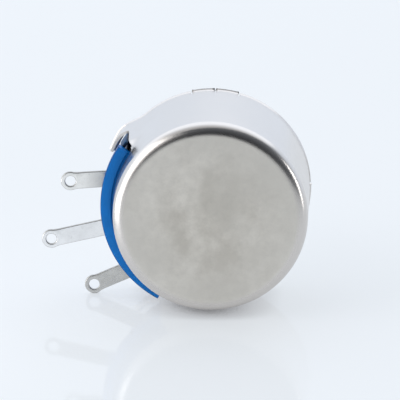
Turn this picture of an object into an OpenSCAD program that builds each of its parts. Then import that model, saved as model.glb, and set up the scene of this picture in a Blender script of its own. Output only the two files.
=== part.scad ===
// Wirewound potentiometer, single turn, for panel mounting.
//
// The pot lies on its side. Its shaft runs along +Y, its can points to -Y, +Z is up,
// and the solder lugs point to -X. The origin is the centre of the mounting face, on
// the shaft's axis. Lengths are in millimetres, angles in degrees.
//
// Each piece is built standing on the mounting face: its own z is the height behind
// that face, and lay_down() turns that height to -Y. Angles are counted anticlockwise
// from +X towards +Z, as seen from behind the can.

/* [Can] */
// Outer diameter of the can at its rear corner
can_d = 21.5; // [21:0.1:25]
// Extra diameter of the can at its open front rim
can_taper = 1.0; // [0.4:0.1:1.2]
// Depth from the mounting face to the can's rear face
body_depth = 14.6; // [13.4:0.1:20]
// Sheet thickness of the can
sheet_t = 0.35; // [0.3:0.01:0.38]
// Outer radius of the can's rear corner
corner_r = 1.0; // [0.7:0.1:1.6]
// Angle of the middle of the terminal window
window_angle = 191.75; // [188:0.25:196]
// Angle from the middle of the window to each end
window_half_angle = 49.75; // [48:0.25:52]
// How far the ears beside the window flare outwards
ear_flare = 1.1; // [0.8:0.1:1.5]
// Angle that each ear reaches across the window
ear_reach_angle = 18; // [14:1:20]
// Width of the lip turned in along an ear's front edge
ear_lip = 0.35; // [0.2:0.05:0.5]
// Angle that one folded claw covers
claw_angle = 13; // [9:1:14]
// Width of the relief slits beside the claws
slit_w = 0.2; // [0.15:0.05:0.4]
// How far a claw reaches inwards over the front plate
claw_reach = 1.7; // [1.2:0.1:2]

/* [Front plate] */
// Thickness of the front plate
plate_t = 1.0; // [0.8:0.05:1.2]
// Diameter of the raised pad that seats on the panel
pad_d = 15; // [14:0.5:16]
// Height of the raised pad above the plate
pad_rise = 0.4; // [0.4:0.05:0.6]
// Width of the tab that keeps the body from turning
tab_w = 3; // [2:0.1:4]
// Length of that tab in front of the mounting face
tab_len = 2.2; // [1.5:0.1:3.5]
// Distance from the shaft's axis to the middle of the tab
tab_r = 9.6; // [9.3:0.1:9.7]

/* [Bushing and shaft] */
// Outer diameter of the threaded bushing
bushing_d = 9; // [8.8:0.1:9.4]
// Length of the threaded bushing in front of the mounting face
bushing_len = 8; // [6:0.5:10]
// Pitch of the bushing's thread, drawn as rings
thread_pitch = 0.75; // [0.7:0.05:1]
// Diameter of the bushing's knurled seat, pressed into the front plate
spigot_d = 9.6; // [9.5:0.1:9.8]
// Diameter of the shaft
shaft_d = 6; // [5.8:0.05:6.35]
// Length of the shaft in front of the mounting face
shaft_reach = 18; // [15:0.5:25]
// Radial clearance of the shaft in the bushing
shaft_gap = 0.03; // [0.02:0.01:0.06]
// Width of the driver slot in the shaft's end
slot_w = 1.0; // [0.8:0.1:1.4]
// Depth of the driver slot
slot_depth = 1.6; // [1:0.1:2.5]
// Thickness of the retaining ring
ring_t = 0.7; // [0.5:0.05:0.9]
// Thickness of the thrust washer
washer_t = 0.3; // [0.2:0.05:0.4]

/* [Terminal base] */
// Thickness of the moulded base's floor
floor_t = 1.6; // [1.4:0.1:2]
// Height of the guard's rear face above the mounting face
guard_h = 9.6; // [8.8:0.1:10.4]
// Thickness of the terminal guard
guard_t = 1.2; // [0.8:0.1:1.6]
// How far the guard stands out of the can
guard_proud = 1.4; // [1.2:0.05:1.6]
// Depth of the step along the guard's inner edge
guard_step = 0.2; // [0.1:0.05:0.5]
// Height of the terminals above the base's floor
lug_seat = 1.6; // [1.5:0.1:2.2]

/* [Terminals] */
// Width of a terminal
lug_w = 1.9; // [1.7:0.1:2]
// Sheet thickness of a terminal
lug_t = 0.4; // [0.3:0.05:0.5]
// Diameter of the solder hole
lug_hole_d = 1.2; // [1:0.1:1.3]
// Diameter of the rounded outer end of a terminal
lug_end_d = 2.15; // [2.1:0.05:2.4]
// Distance from rivet to solder hole on the upper terminal
upper_len = 7.8; // [6:0.1:10]
// Distance from rivet to solder hole on the middle terminal
middle_len = 10.5; // [8:0.1:12]
// Distance from rivet to solder hole on the lower terminal
lower_len = 9.2; // [7:0.1:10]
// Direction of the upper terminal
upper_angle = 184; // [182:0.5:188]
// Direction of the middle terminal
middle_angle = 193; // [190:0.5:198]
// Direction of the lower terminal
lower_angle = 204; // [202:0.5:208]
// Angle of the middle rivet, opposite the wiper's middle position
rivet_angle = 199.5; // [198:0.5:201]
// Angle between neighbouring rivets
rivet_pitch_angle = 34.5; // [33:0.5:35]

/* [Resistance element] */
// Width of the card that carries the winding
card_w = 8.2; // [6:0.1:9]
// Thickness of that card
card_t = 0.7; // [0.5:0.05:0.8]
// Angle of the gap between the ends of the card
card_gap_angle = 88; // [86:0.5:92]
// Angle that an end clip covers
clip_angle = 7; // [5:0.5:8]
// Angle between neighbouring turns of wire
turn_pitch_angle = 2.2; // [1.8:0.1:4]
// How far each turn stands out of the layer of wire
turn_ridge = 0.12; // [0.06:0.01:0.16]

/* [Rotor and wiper] */
// Angle that the shaft turns from stop to stop
travel_angle = 260; // [220:5:264]
// Diameter of the rotor's hub
hub_d = 8.6; // [8:0.1:9]
// Thickness of the rotor's disc
rotor_t = 1.2; // [1:0.1:1.6]
// Thickness of the spring strips
spring_t = 0.25; // [0.15:0.05:0.3]
// Width of the wiper's arm
arm_w = 1.6; // [1.2:0.1:2.2]
// Diameter of the wiper's contact
contact_d = 0.9; // [0.7:0.05:1.2]
// Middle diameter of the collector ring, which the winding and its wall stand around
collector_d = 13.3; // [12.8:0.1:13.6]
// Width of the collector ring
collector_w = 1.1; // [0.9:0.05:1.2]

/* [Hidden] */
$fn = 96;
eps = 0.01;

// Clearances
fit_gap = 0.05;
loose_gap = 0.1;
disc_gap = 0.25;
run_gap = 0.1;

// Heights behind the mounting face
rim_h = pad_rise;
plate_top_h = rim_h + plate_t;
floor_h = plate_top_h + floor_t;
lug_h = floor_h + lug_seat;
lug_top_h = lug_h + lug_t;
collector_t = 0.25;
collector_top_h = lug_top_h + collector_t;
disc_t = 0.5;
wall_top_h = body_depth - sheet_t - disc_gap - disc_t;

// Can: radius of its outer surface at a height, and its window
function can_r(h) =
    can_d / 2 + can_taper / 2 * (body_depth - corner_r - h) / (body_depth - corner_r - rim_h);
rim_r = can_r(rim_h);
window_gap = 0.4;
window_corner_w = 0.9;
window_corner_h = 1.5;
window_h = guard_h + window_gap;
window_from_angle = window_angle - window_half_angle;
window_to_angle = window_angle + window_half_angle;
ear_root_angle = 11;
ear_rise_angle = 19;
ear_overlap = 0.2;
ear_join_h = window_h - ear_overlap;
ear_edge_h = 4.4;
ear_fall_power = 0.42;
ear_lip_angle = 8;
ear_fade_h = 3.8;
claw_pairs_angle = [88, -12.2, 270];
claw_bulge = 0.15;
claw_root_h = 1;
slit_top_h = rim_h + claw_root_h + 0.1;
fold_r = sheet_t * 0.7;
cut_margin = 1;

// Front plate and bushing
plate_r = can_r(plate_top_h) - sheet_t - fit_gap;
tab_t = 1.0;
stake_t = 0.8;
stake_d = spigot_d + 2 * stake_t;
stake_top_h = plate_t + stake_t;
bore_r = shaft_d / 2 + shaft_gap;
thread_chamfer = 0.4;
thread_depth = 0.4;
thread_crest_w = 0.25;
thread_root_w = 0.1;
thread_relief_len = 0.6;
plate_bevel = 0.4;
plate_edge_r = 0.15;
tab_room = 0.3;

// Layers on each face of the card: the gap under the wire, the wire and its ridges
wire_layer = 0.12;
card_fit = 0.03;
turn_stack = turn_ridge + wire_layer + card_fit;
clip_t = 0.25;

// Moulded base
base_r = can_r(wall_top_h) - sheet_t - loose_gap;
collector_r = collector_d / 2;
seat_in_r = collector_r - collector_w / 2 - fit_gap;
seat_out_r = collector_r + collector_w / 2 + fit_gap;
winding_room = 0.56;
track_r = seat_out_r + winding_room;
base_in_r = track_r + 2 * turn_stack + card_t + fit_gap;
wall_mid_r = (base_in_r + base_r) / 2;
wall_bevel = (base_r - base_in_r) * 0.4;
sector_r = can_r(guard_h) + 0.3;
guard_r = can_r(guard_h) + guard_proud;
guard_margin_angle = 0.5;
guard_end_angle = 4;
foot_root_r = wall_mid_r + 0.1;
foot_in_r = can_r(guard_h) + 0.55;
foot_wall_r = can_r(guard_h) + 0.65;
foot_out_r = can_r(guard_h) + 1.05;
foot_step_h = 4.7;
foot_overlap = 0.1;
foot_overlap_angle = 0.7;
foot_floor_t = 0.6;
foot_edge = 0.05;
foot_reach_angle = 2.5;
guard_inner_r = can_r(guard_h) + 0.25;
stop_half_angle = 27;
stop_room = 0.1;
stop_hub_gap = 0.4;
stop_slack_angle = 0.4;
block_margin_angle = 8;

// Resistance element
card_r = track_r + turn_stack + card_t / 2;
card_low_h = floor_h + fit_gap + turn_stack;
card_in_r = card_r - card_t / 2;
card_out_r = card_r + card_t / 2;
wire_in_r = card_in_r - card_fit - wire_layer;
wire_out_r = card_out_r + card_fit + wire_layer;
card_from_angle = rivet_angle + card_gap_angle / 2;
card_sweep_angle = 360 - card_gap_angle;
turn_count = floor((card_sweep_angle - 2 * clip_angle - 1) / turn_pitch_angle);
winding_sweep_angle = turn_count * turn_pitch_angle;
winding_from_angle = card_from_angle + (card_sweep_angle - winding_sweep_angle) / 2;
turn_share = 0.55;
turn_angle = turn_pitch_angle * turn_share;
turn_lead_angle = turn_pitch_angle * (1 - turn_share) / 2;

// Terminals and their rivets
rivet_r = card_r;
rivet_d = 0.9;
rivet_room_r = base_in_r - rivet_r - fit_gap;
rivet_head_d = 2 * rivet_room_r;
rivet_head_t = 0.25;
head_share = 0.7;
tail_w = 1.2;
clip_rise_h = 2;
clip_join_angle = 0.2;

// Rotor, standing on the thrust washer
arm_angle = rivet_angle - 180;
washer_h = stake_top_h + fit_gap;
rotor_h = washer_h + washer_t + fit_gap;
disc_lift = 0.75;
disc_h = collector_top_h + disc_lift;
rotor_top_h = disc_h + rotor_t;
rotor_room = 1.2;
rotor_r = track_r - rotor_room;
seat_d = 4.8;
stop_arm_gap = 0.25;
stop_arm_r = seat_in_r - stop_arm_gap;
stop_drop = 0.8;
stop_top_h = lug_top_h - stop_drop;
stop_arm_half_angle = 180 - travel_angle / 2 - stop_half_angle - stop_slack_angle;
rivet_web = 1.05;
rotor_rivet_r = hub_d / 2 + rivet_web;
strip_margin = 0.8;
strip_out_r = rotor_rivet_r + strip_margin;
contact_tip_r = track_r - run_gap;
contact_t = 0.4;
contact_lift = 1.5;
contact_h = rotor_top_h + contact_lift;
groove_d = 4.6;
ring_d = bushing_d - 1;
peen_t = 0.6;
washer_margin = 0.5;

// ---- Helpers ----

// Turns a piece from standing on the mounting face to lying with its shaft along +Y
module lay_down() {
    rotate([90, 0, 0]) children();
}

// Flat sector between two angles, drawn wide enough to cut the whole body
module wedge(from_angle, to_angle, reach = 20) {
    steps = ceil((to_angle - from_angle) / 30);
    polygon(concat(
        [[0, 0]],
        [for (i = [0 : steps]) let (a = from_angle + (to_angle - from_angle) * i / steps)
            reach * [cos(a), sin(a)]]
    ));
}

// Part of a ring between two radii and two angles
module ring_sector(r_in, r_out, from_angle, to_angle, h_low, h_high) {
    rotate([0, 0, from_angle]) rotate_extrude(angle = to_angle - from_angle)
        translate([r_in, h_low]) square([r_out - r_in, h_high - h_low]);
}

// Ring between two heights
module ring(r_in, r_out, h_low, h_high) {
    rotate_extrude() translate([r_in, h_low]) square([r_out - r_in, h_high - h_low]);
}

// Moves a shape drawn along +X to a rivet, pointing in the direction angle_out
module at_rivet(a, angle_out) {
    rotate([0, 0, a]) translate([rivet_r, 0, 0]) rotate([0, 0, angle_out - a]) children();
}

function smooth(t) = let (u = min(1, max(0, t))) u * u * (3 - 2 * u);

// ---- Can ----

// Half section of the can's outer form, or of its hollow with inset = sheet_t
module can_section(inset, low_h) {
    top = body_depth - inset;
    side = can_d / 2 - inset;
    r = corner_r - inset;
    polygon([
        [0, low_h],
        [can_r(low_h) - inset, low_h],
        [side, top - r],
        [side - r, top],
        [0, top]
    ]);
    translate([side - r, top - r]) circle(r);
}

// One flared ear: a grid of points over its outer face and its inner face.
// It starts inside the can's wall, swells out, and reaches over the window.
function ear_near_h(a) =
    a <= ear_root_angle ? ear_join_h
    : ear_edge_h - (ear_edge_h - rim_h - claw_root_h)
        * pow(min(1, (a - ear_root_angle) / ear_reach_angle), ear_fall_power);
function ear_out_r(a, h) =
    can_r(h) + ear_flare * smooth(a / ear_rise_angle) * smooth((ear_join_h - h) / ear_fade_h);

module ear() {
    columns = concat(
        [-0.6, 0, 2.5, 5, 7.5, 9.5],
        [for (step = [0, 0.5, 1.2]) ear_root_angle + step],
        [for (i = [1 : 6]) ear_root_angle + ear_reach_angle * i / 6]
    );
    last = len(columns) - 1;
    lip_h = rim_h + sheet_t;
    tuck = 0.1;
    // Heights of one column from the rear edge to the front rim
    function rows(a) = let (near = ear_near_h(a)) concat(
        [a <= ear_root_angle ? near + ear_overlap + tuck : near],
        [for (j = [0 : 4]) near - 0.01 * (a > ear_root_angle ? 1 : 0)
            - (near - 0.02 - lip_h) * j / 4],
        [lip_h - 0.02, rim_h]
    );
    row_count = len(rows(0));
    // The edges that lie inside the wall are thinner than the wall
    function skin(i, j) = (i == 0 || (j == 0 && columns[i] <= ear_root_angle)) ? tuck : 0.01;
    function outer(i, j) = let (a = columns[i], h = rows(a)[j], r = ear_out_r(a, h) - skin(i, j))
        [r * cos(a), r * sin(a), h];
    // The lip is widest at the ear's root, but never reaches inside the can's wall
    function lip(i, j) = j < row_count - 2 ? 0 : let (a = columns[i]) min(
        ear_lip * (2 - smooth((a - ear_root_angle) / ear_lip_angle)),
        ear_out_r(a, rim_h) - rim_r
    );
    function inner(i, j) = let (a = columns[i], h = rows(a)[j],
            r = ear_out_r(a, h) - sheet_t + skin(i, j) - lip(i, j))
        [r * cos(a), r * sin(a), h];
    function o(i, j) = i * row_count + j;
    function n(i, j) = (last + 1) * row_count + o(i, j);
    points = concat(
        [for (i = [0 : last]) for (j = [0 : row_count - 1]) outer(i, j)],
        [for (i = [0 : last]) for (j = [0 : row_count - 1]) inner(i, j)]
    );
    bottom = row_count - 1;
    faces = concat(
        [for (i = [0 : last - 1]) for (j = [0 : bottom - 1]) each [
            [o(i, j), o(i + 1, j), o(i + 1, j + 1)],
            [o(i, j), o(i + 1, j + 1), o(i, j + 1)],
            [n(i, j), n(i + 1, j + 1), n(i + 1, j)],
            [n(i, j), n(i, j + 1), n(i + 1, j + 1)]
        ]],
        [for (i = [0 : last - 1]) each [
            [o(i, 0), n(i, 0), n(i + 1, 0)],
            [o(i, 0), n(i + 1, 0), o(i + 1, 0)],
            [o(i, bottom), n(i + 1, bottom), n(i, bottom)],
            [o(i, bottom), o(i + 1, bottom), n(i + 1, bottom)]
        ]],
        [for (j = [0 : bottom - 1]) each [
            [o(0, j), o(0, j + 1), n(0, j + 1)],
            [o(0, j), n(0, j + 1), n(0, j)],
            [o(last, j), n(last, j + 1), o(last, j + 1)],
            [o(last, j), n(last, j), n(last, j + 1)]
        ]]
    );
    polyhedron(points, faces);
}

// Both ears, mirrored about the middle of the window
module ears() {
    start = window_half_angle + ear_root_angle;
    rotate([0, 0, window_angle - start]) ear();
    rotate([0, 0, window_angle]) mirror([0, 1, 0]) rotate([0, 0, -start]) ear();
}

// Claws folded over the front plate, two beside each slit
module claws() {
    fold_h = rim_h - sheet_t;
    slit_angle = slit_w / rim_r * 180 / PI;
    for (middle = claw_pairs_angle) for (side = [0, 1])
        rotate([0, 0, middle + (side == 0 ? slit_angle / 2 : -slit_angle / 2 - claw_angle)])
            rotate_extrude(angle = claw_angle) polygon([
                [rim_r - sheet_t - claw_reach, fold_h],
                [rim_r - fold_r, fold_h],
                [rim_r + claw_bulge - fold_r / 3, fold_h + fold_r / 3],
                [rim_r + claw_bulge, fold_h + fold_r],
                [rim_r + claw_bulge, rim_h + claw_root_h / 2],
                [rim_r - sheet_t / 4, rim_h + claw_root_h],
                [rim_r - sheet_t / 2, rim_h + claw_root_h],
                [rim_r - sheet_t / 2, rim_h],
                [rim_r - sheet_t - claw_reach, rim_h]
            ]);
}

// Corner of sheet that is left standing at an end of the window's rear edge
module window_corner() {
    translate([can_r(window_h) - cut_margin, 0, 0]) rotate([90, 0, 90])
        linear_extrude(2 * cut_margin) polygon([
            [-fit_gap, window_h + eps],
            [window_corner_w, window_h + eps],
            [-fit_gap, window_h - window_corner_h]
        ]);
}

module rear_cover() {
    slit_angle = slit_w / rim_r * 180 / PI;
    color("silver") lay_down() {
        difference() {
            rotate_extrude() difference() {
                can_section(0, rim_h);
                can_section(sheet_t, rim_h - cut_margin);
            }
            difference() {
                union() {
                    linear_extrude(window_h) wedge(window_from_angle, window_to_angle);
                    linear_extrude(ear_join_h) wedge(
                        window_from_angle - ear_root_angle, window_to_angle + ear_root_angle);
                }
                rotate([0, 0, window_from_angle]) window_corner();
                rotate([0, 0, window_to_angle]) mirror([0, 1, 0]) window_corner();
            }
            for (middle = claw_pairs_angle) for (k = [-1, 0, 1])
                rotate([0, 0, middle + k * (claw_angle + slit_angle)])
                    translate([rim_r - cut_margin, -slit_w / 2, 0])
                        cube([2 * cut_margin, slit_w, slit_top_h]);
        }
        ears();
        claws();
    }
}

// ---- Front plate and bushing ----

module front_plate() {
    tab_angle = arm_angle;
    hole_r = spigot_d / 2 + eps;
    color("gainsboro") lay_down() {
        difference() {
            rotate_extrude() polygon([
                [hole_r, 0],
                [pad_d / 2 - plate_bevel, 0],
                [pad_d / 2, rim_h],
                [plate_r - plate_edge_r, rim_h],
                [plate_r, rim_h + plate_edge_r],
                [plate_r, plate_top_h],
                [pad_d / 2 - plate_bevel, plate_top_h],
                [pad_d / 2 - 2 * plate_bevel, plate_t],
                [hole_r, plate_t]
            ]);
            rotate([0, 0, tab_angle]) translate([tab_r + tab_t / 2, -tab_w / 2 - tab_room, 0])
                cube([plate_r - tab_r, tab_w + 2 * tab_room, plate_top_h + cut_margin]);
        }
        rotate([0, 0, tab_angle]) translate([tab_r - tab_t / 2, -tab_w / 2, -tab_len])
            cube([tab_t, tab_w, tab_len + plate_top_h - plate_edge_r]);
    }
}

module bushing() {
    r = bushing_d / 2;
    root_r = r - thread_depth;
    bore_chamfer = 0.3;
    start_h = -bushing_len + thread_chamfer;
    groove_count = floor((bushing_len - thread_chamfer - thread_relief_len) / thread_pitch);
    groove_top_w = thread_pitch - thread_crest_w;
    flank_w = (groove_top_w - thread_root_w) / 2;
    last_h = start_h + groove_count * thread_pitch + thread_crest_w;
    color("silver") lay_down() rotate_extrude() polygon(concat(
        [
            [bore_r + bore_chamfer, -bushing_len],
            [r - thread_chamfer, -bushing_len],
            [r, start_h]
        ],
        [for (i = [0 : groove_count - 1]) let (h = start_h + i * thread_pitch + thread_crest_w) each [
            [r, h],
            [root_r, h + flank_w],
            [root_r, h + flank_w + thread_root_w],
            [r, h + groove_top_w]
        ]],
        [
            [r, last_h],
            [root_r, last_h + flank_w],
            [root_r, fit_gap],
            [spigot_d / 2, fit_gap],
            [spigot_d / 2, plate_t],
            [stake_d / 2, plate_t],
            [stake_d / 2, plate_t + stake_t * 0.4],
            [stake_d / 2 - stake_t, stake_top_h],
            [bore_r, stake_top_h],
            [bore_r, -bushing_len + bore_chamfer]
        ]
    ));
}

// ---- Moulded base ----

// Strip of a terminal from its rivet to its solder hole, wider by grow all round
module lug_outline(length, grow = 0) {
    circle(d = lug_w + 2 * grow);
    translate([0, -lug_w / 2 - grow]) square([length, lug_w + 2 * grow]);
    translate([length, 0]) circle(d = lug_end_d + 2 * grow);
}

module terminal_base() {
    block_from_angle = rivet_angle - rivet_pitch_angle - block_margin_angle;
    block_to_angle = rivet_angle + rivet_pitch_angle + block_margin_angle;
    foot_from_angle = window_from_angle + guard_margin_angle;
    guard_from_angle = window_from_angle + guard_end_angle;
    foot_to_angle = guard_from_angle + foot_reach_angle;
    guard_to_angle = window_to_angle - guard_margin_angle;
    color("dodgerblue") lay_down() difference() {
        union() {
            // Cup: floor, ring wall and the seat of the collector ring
            rotate_extrude() polygon([
                [seat_in_r, plate_top_h],
                [base_r, plate_top_h],
                [base_r, wall_top_h - wall_bevel],
                [base_r - wall_bevel, wall_top_h],
                [base_in_r, wall_top_h],
                [base_in_r, floor_h],
                [seat_out_r, floor_h],
                [seat_out_r, lug_top_h],
                [seat_in_r, lug_top_h]
            ]);
            // Block under the inner ends of the terminals
            ring_sector(seat_out_r - eps, base_in_r + eps, block_from_angle, block_to_angle,
                floor_h - eps, lug_top_h);
            // Filling of the can's window with a thin-walled foot beside the ear, and the guard
            // over the terminals
            ring_sector(foot_root_r, foot_in_r, foot_from_angle, foot_to_angle - foot_overlap_angle,
                plate_top_h, foot_step_h + foot_overlap);
            ring_sector(foot_root_r, foot_out_r - foot_edge, foot_from_angle, foot_to_angle,
                foot_step_h, foot_step_h + foot_floor_t);
            ring_sector(foot_wall_r, foot_out_r, foot_from_angle, foot_to_angle + foot_overlap_angle,
                foot_step_h + foot_edge, guard_h - guard_t + foot_overlap);
            ring_sector(wall_mid_r, sector_r, guard_from_angle, guard_to_angle,
                plate_top_h, guard_h - guard_t + eps);
            ring_sector(wall_mid_r, guard_inner_r, guard_from_angle, guard_to_angle,
                guard_h - guard_t, guard_h - guard_step);
            ring_sector(guard_inner_r - eps, guard_r, guard_from_angle, guard_to_angle,
                guard_h - guard_t, guard_h);
            // Stop for the rotor
            ring_sector(hub_d / 2 + stop_hub_gap, seat_in_r + eps, rivet_angle - stop_half_angle,
                rivet_angle + stop_half_angle, rotor_h + stop_room, stop_top_h + stop_room);
        }
        // Terminal slots and rivet holes
        for (t = [
            [rivet_angle - rivet_pitch_angle, upper_angle, upper_len],
            [rivet_angle, middle_angle, middle_len],
            [rivet_angle + rivet_pitch_angle, lower_angle, lower_len]
        ]) {
            translate([0, 0, lug_h]) at_rivet(t[0], t[1])
                linear_extrude(lug_t + 2 * eps) lug_outline(t[2], fit_gap);
            translate([0, 0, floor_h]) at_rivet(t[0], t[1])
                cylinder(d = rivet_d + 2 * eps, h = lug_seat + cut_margin);
        }
    }
}

module insulating_disc() {
    color("tan") lay_down() translate([0, 0, wall_top_h])
        cylinder(r = base_r - wall_bevel - loose_gap, h = disc_t);
}

// ---- Resistance element ----

module winding_former() {
    color("peru") lay_down()
        ring_sector(card_in_r, card_out_r, card_from_angle, card_from_angle + card_sweep_angle,
            card_low_h, card_low_h + card_w);
}

// Outline of the layer of wire, with a ridge for each turn on both faces
module winding_outline() {
    function pt(r, a) = r * [cos(a), sin(a)];
    function start(i) = winding_from_angle + turn_pitch_angle * i + turn_lead_angle;
    polygon(concat(
        [pt(wire_out_r, winding_from_angle)],
        [for (i = [0 : turn_count - 1]) each [
            pt(wire_out_r, start(i)),
            pt(wire_out_r + turn_ridge, start(i)),
            pt(wire_out_r + turn_ridge, start(i) + turn_angle),
            pt(wire_out_r, start(i) + turn_angle)
        ]],
        [pt(wire_out_r, winding_from_angle + winding_sweep_angle)],
        [pt(wire_in_r, winding_from_angle + winding_sweep_angle)],
        [for (i = [turn_count - 1 : -1 : 0]) each [
            pt(wire_in_r, start(i) + turn_angle),
            pt(wire_in_r - turn_ridge, start(i) + turn_angle),
            pt(wire_in_r - turn_ridge, start(i)),
            pt(wire_in_r, start(i))
        ]],
        [pt(wire_in_r, winding_from_angle)]
    ));
}

module resistance_winding() {
    low = card_low_h - card_fit - wire_layer;
    high = card_low_h + card_w + card_fit + wire_layer;
    color("silver") lay_down() difference() {
        union() {
            translate([0, 0, low]) linear_extrude(high - low) winding_outline();
            // The turns stand out along the card's two edges as well
            for (i = [0 : turn_count - 1])
                rotate([0, 0, winding_from_angle + turn_pitch_angle * (i + 0.5)])
                    translate([wire_in_r - turn_ridge / 2, -wire_in_r * sin(turn_angle / 2),
                        low - turn_ridge])
                        cube([wire_out_r - wire_in_r + turn_ridge,
                            2 * wire_in_r * sin(turn_angle / 2), high - low + 2 * turn_ridge]);
        }
        ring_sector(card_in_r - card_fit, card_out_r + card_fit,
            winding_from_angle - 1, winding_from_angle + winding_sweep_angle + 1,
            card_low_h - card_fit, card_low_h + card_w + card_fit);
    }
}

// Clip folded over one end of the card, with a tail to the terminal's rivet.
// Its angles are counted from the middle rivet.
module end_clip() {
    high = card_low_h + card_w + card_fit;
    clip_in_r = card_in_r - card_fit - clip_t;
    clip_out_r = card_out_r + card_fit + clip_t;
    card_end_angle = card_gap_angle / 2;
    rise_angle = 1.4;
    tail_angle = 5;
    difference() {
        union() {
            ring_sector(clip_in_r, clip_out_r, card_end_angle, card_end_angle + clip_angle,
                card_low_h, high + clip_t);
            // Riser that joins the clip's two legs to the tail
            ring_sector(clip_in_r, clip_out_r, card_end_angle - rise_angle,
                card_end_angle + clip_join_angle, lug_top_h, lug_top_h + clip_rise_h);
            ring_sector(card_r - tail_w / 2, card_r + tail_w / 2,
                rivet_pitch_angle - tail_angle, card_end_angle, lug_top_h, collector_top_h);
        }
        // Room for the card's end
        ring_sector(card_in_r - card_fit, card_out_r + card_fit, card_end_angle - clip_join_angle,
            card_end_angle + clip_angle + clip_join_angle, card_low_h - cut_margin, high);
        rotate([0, 0, rivet_pitch_angle]) translate([rivet_r, 0, 0])
            cylinder(d = rivet_d + 2 * eps, h = body_depth);
    }
}

module end_clip_upper() {
    color("gold") lay_down() rotate([0, 0, rivet_angle]) mirror([0, 1, 0]) end_clip();
}

module end_clip_lower() {
    color("gold") lay_down() rotate([0, 0, rivet_angle]) end_clip();
}

// ---- Terminals ----

module terminal(a, angle_out, length) {
    color("lightgray") lay_down() translate([0, 0, lug_h]) at_rivet(a, angle_out)
        linear_extrude(lug_t) difference() {
            lug_outline(length);
            circle(d = rivet_d + 2 * eps);
            translate([length, 0]) circle(d = lug_hole_d);
        }
}

module terminal_upper() {
    terminal(rivet_angle - rivet_pitch_angle, upper_angle, upper_len);
}

module terminal_middle() {
    terminal(rivet_angle, middle_angle, middle_len);
}

module terminal_lower() {
    terminal(rivet_angle + rivet_pitch_angle, lower_angle, lower_len);
}

module terminal_rivets() {
    top = collector_top_h;
    color("goldenrod") lay_down() for (k = [-1, 0, 1])
        rotate([0, 0, rivet_angle + k * rivet_pitch_angle]) translate([rivet_r, 0, 0]) {
            translate([0, 0, floor_h]) cylinder(d = rivet_d, h = top - floor_h + eps);
            translate([0, 0, top])
                cylinder(d1 = rivet_head_d, d2 = rivet_head_d * head_share, h = rivet_head_t);
        }
}

module collector_ring() {
    tab_width = rivet_head_d;
    color("gold") lay_down() difference() {
        union() {
            ring(collector_r - collector_w / 2, collector_r + collector_w / 2,
                lug_top_h, collector_top_h);
            rotate([0, 0, rivet_angle]) translate([0, 0, lug_top_h]) linear_extrude(collector_t) {
                translate([collector_r, -tab_width / 2])
                    square([rivet_r - collector_r, tab_width]);
                translate([rivet_r, 0]) circle(d = tab_width);
            }
        }
        rotate([0, 0, rivet_angle]) translate([rivet_r, 0, 0])
            cylinder(d = rivet_d + 2 * eps, h = body_depth);
    }
}

// ---- Moving parts ----

module shaft() {
    r = shaft_d / 2;
    end_chamfer = 0.5;
    groove_low_h = -bushing_len - ring_t - 2 * fit_gap;
    color("silver") lay_down() difference() {
        rotate_extrude() polygon([
            [0, -shaft_reach],
            [r - end_chamfer, -shaft_reach],
            [r, -shaft_reach + end_chamfer],
            [r, groove_low_h],
            [groove_d / 2, groove_low_h],
            [groove_d / 2, -bushing_len],
            [r, -bushing_len],
            [r, rotor_h],
            [seat_d / 2, rotor_h],
            [seat_d / 2, rotor_top_h],
            [seat_d / 2 + peen_t, rotor_top_h],
            [seat_d / 2 + peen_t / 2, rotor_top_h + peen_t],
            [0, rotor_top_h + peen_t]
        ]);
        rotate([0, 0, arm_angle]) translate([-shaft_d, -slot_w / 2, -shaft_reach - 1])
            cube([2 * shaft_d, slot_w, slot_depth + 1]);
    }
}

module retaining_ring() {
    low = -bushing_len - ring_t - fit_gap;
    color("dimgray") lay_down() translate([0, 0, low]) linear_extrude(ring_t) difference() {
        circle(d = ring_d);
        circle(d = groove_d + 2 * fit_gap);
        rotate(arm_angle + 180) translate([0, -groove_d * 0.42])
            square([ring_d, groove_d * 0.84]);
    }
}

module thrust_washer() {
    color("darkkhaki") lay_down()
        ring(shaft_d / 2 + fit_gap, stake_d / 2 - washer_margin, washer_h, washer_h + washer_t);
}

module rotor_disc() {
    color("saddlebrown") lay_down() difference() {
        union() {
            ring(seat_d / 2 + eps, hub_d / 2, rotor_h, disc_h + eps);
            ring(seat_d / 2 + eps, rotor_r, disc_h, rotor_top_h);
            ring_sector(hub_d / 2 - stop_arm_gap, stop_arm_r, arm_angle - stop_arm_half_angle,
                arm_angle + stop_arm_half_angle, rotor_h + washer_t, stop_top_h);
        }
        for (side = [-1, 1]) rotate([0, 0, arm_angle + side * 90])
            translate([rotor_rivet_r, 0, 0]) cylinder(d = rivet_d + 2 * eps, h = body_depth);
    }
}

// Spring strip that carries the contact out to the winding
module wiper_arm() {
    knee_r = rotor_r - spring_t;
    tip_r = contact_tip_r - contact_t;
    tip_h = contact_h + contact_d / 2 + spring_t;
    color("gold") lay_down() difference() {
        union() {
            ring(seat_d / 2 + peen_t + loose_gap, strip_out_r, rotor_top_h,
                rotor_top_h + spring_t);
            rotate([0, 0, arm_angle]) translate([0, arm_w / 2, 0]) rotate([90, 0, 0])
                linear_extrude(arm_w) polygon([
                    [rotor_rivet_r, rotor_top_h],
                    [knee_r, rotor_top_h],
                    [tip_r, contact_h - contact_d / 2 - spring_t / 2],
                    [tip_r, tip_h],
                    [tip_r - spring_t, tip_h],
                    [tip_r - spring_t, contact_h - contact_d / 2],
                    [knee_r - spring_t / 2, rotor_top_h + spring_t],
                    [rotor_rivet_r, rotor_top_h + spring_t]
                ]);
        }
        for (side = [-1, 1]) rotate([0, 0, arm_angle + side * 90])
            translate([rotor_rivet_r, 0, 0]) cylinder(d = rivet_d + 2 * eps, h = body_depth);
    }
}

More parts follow.
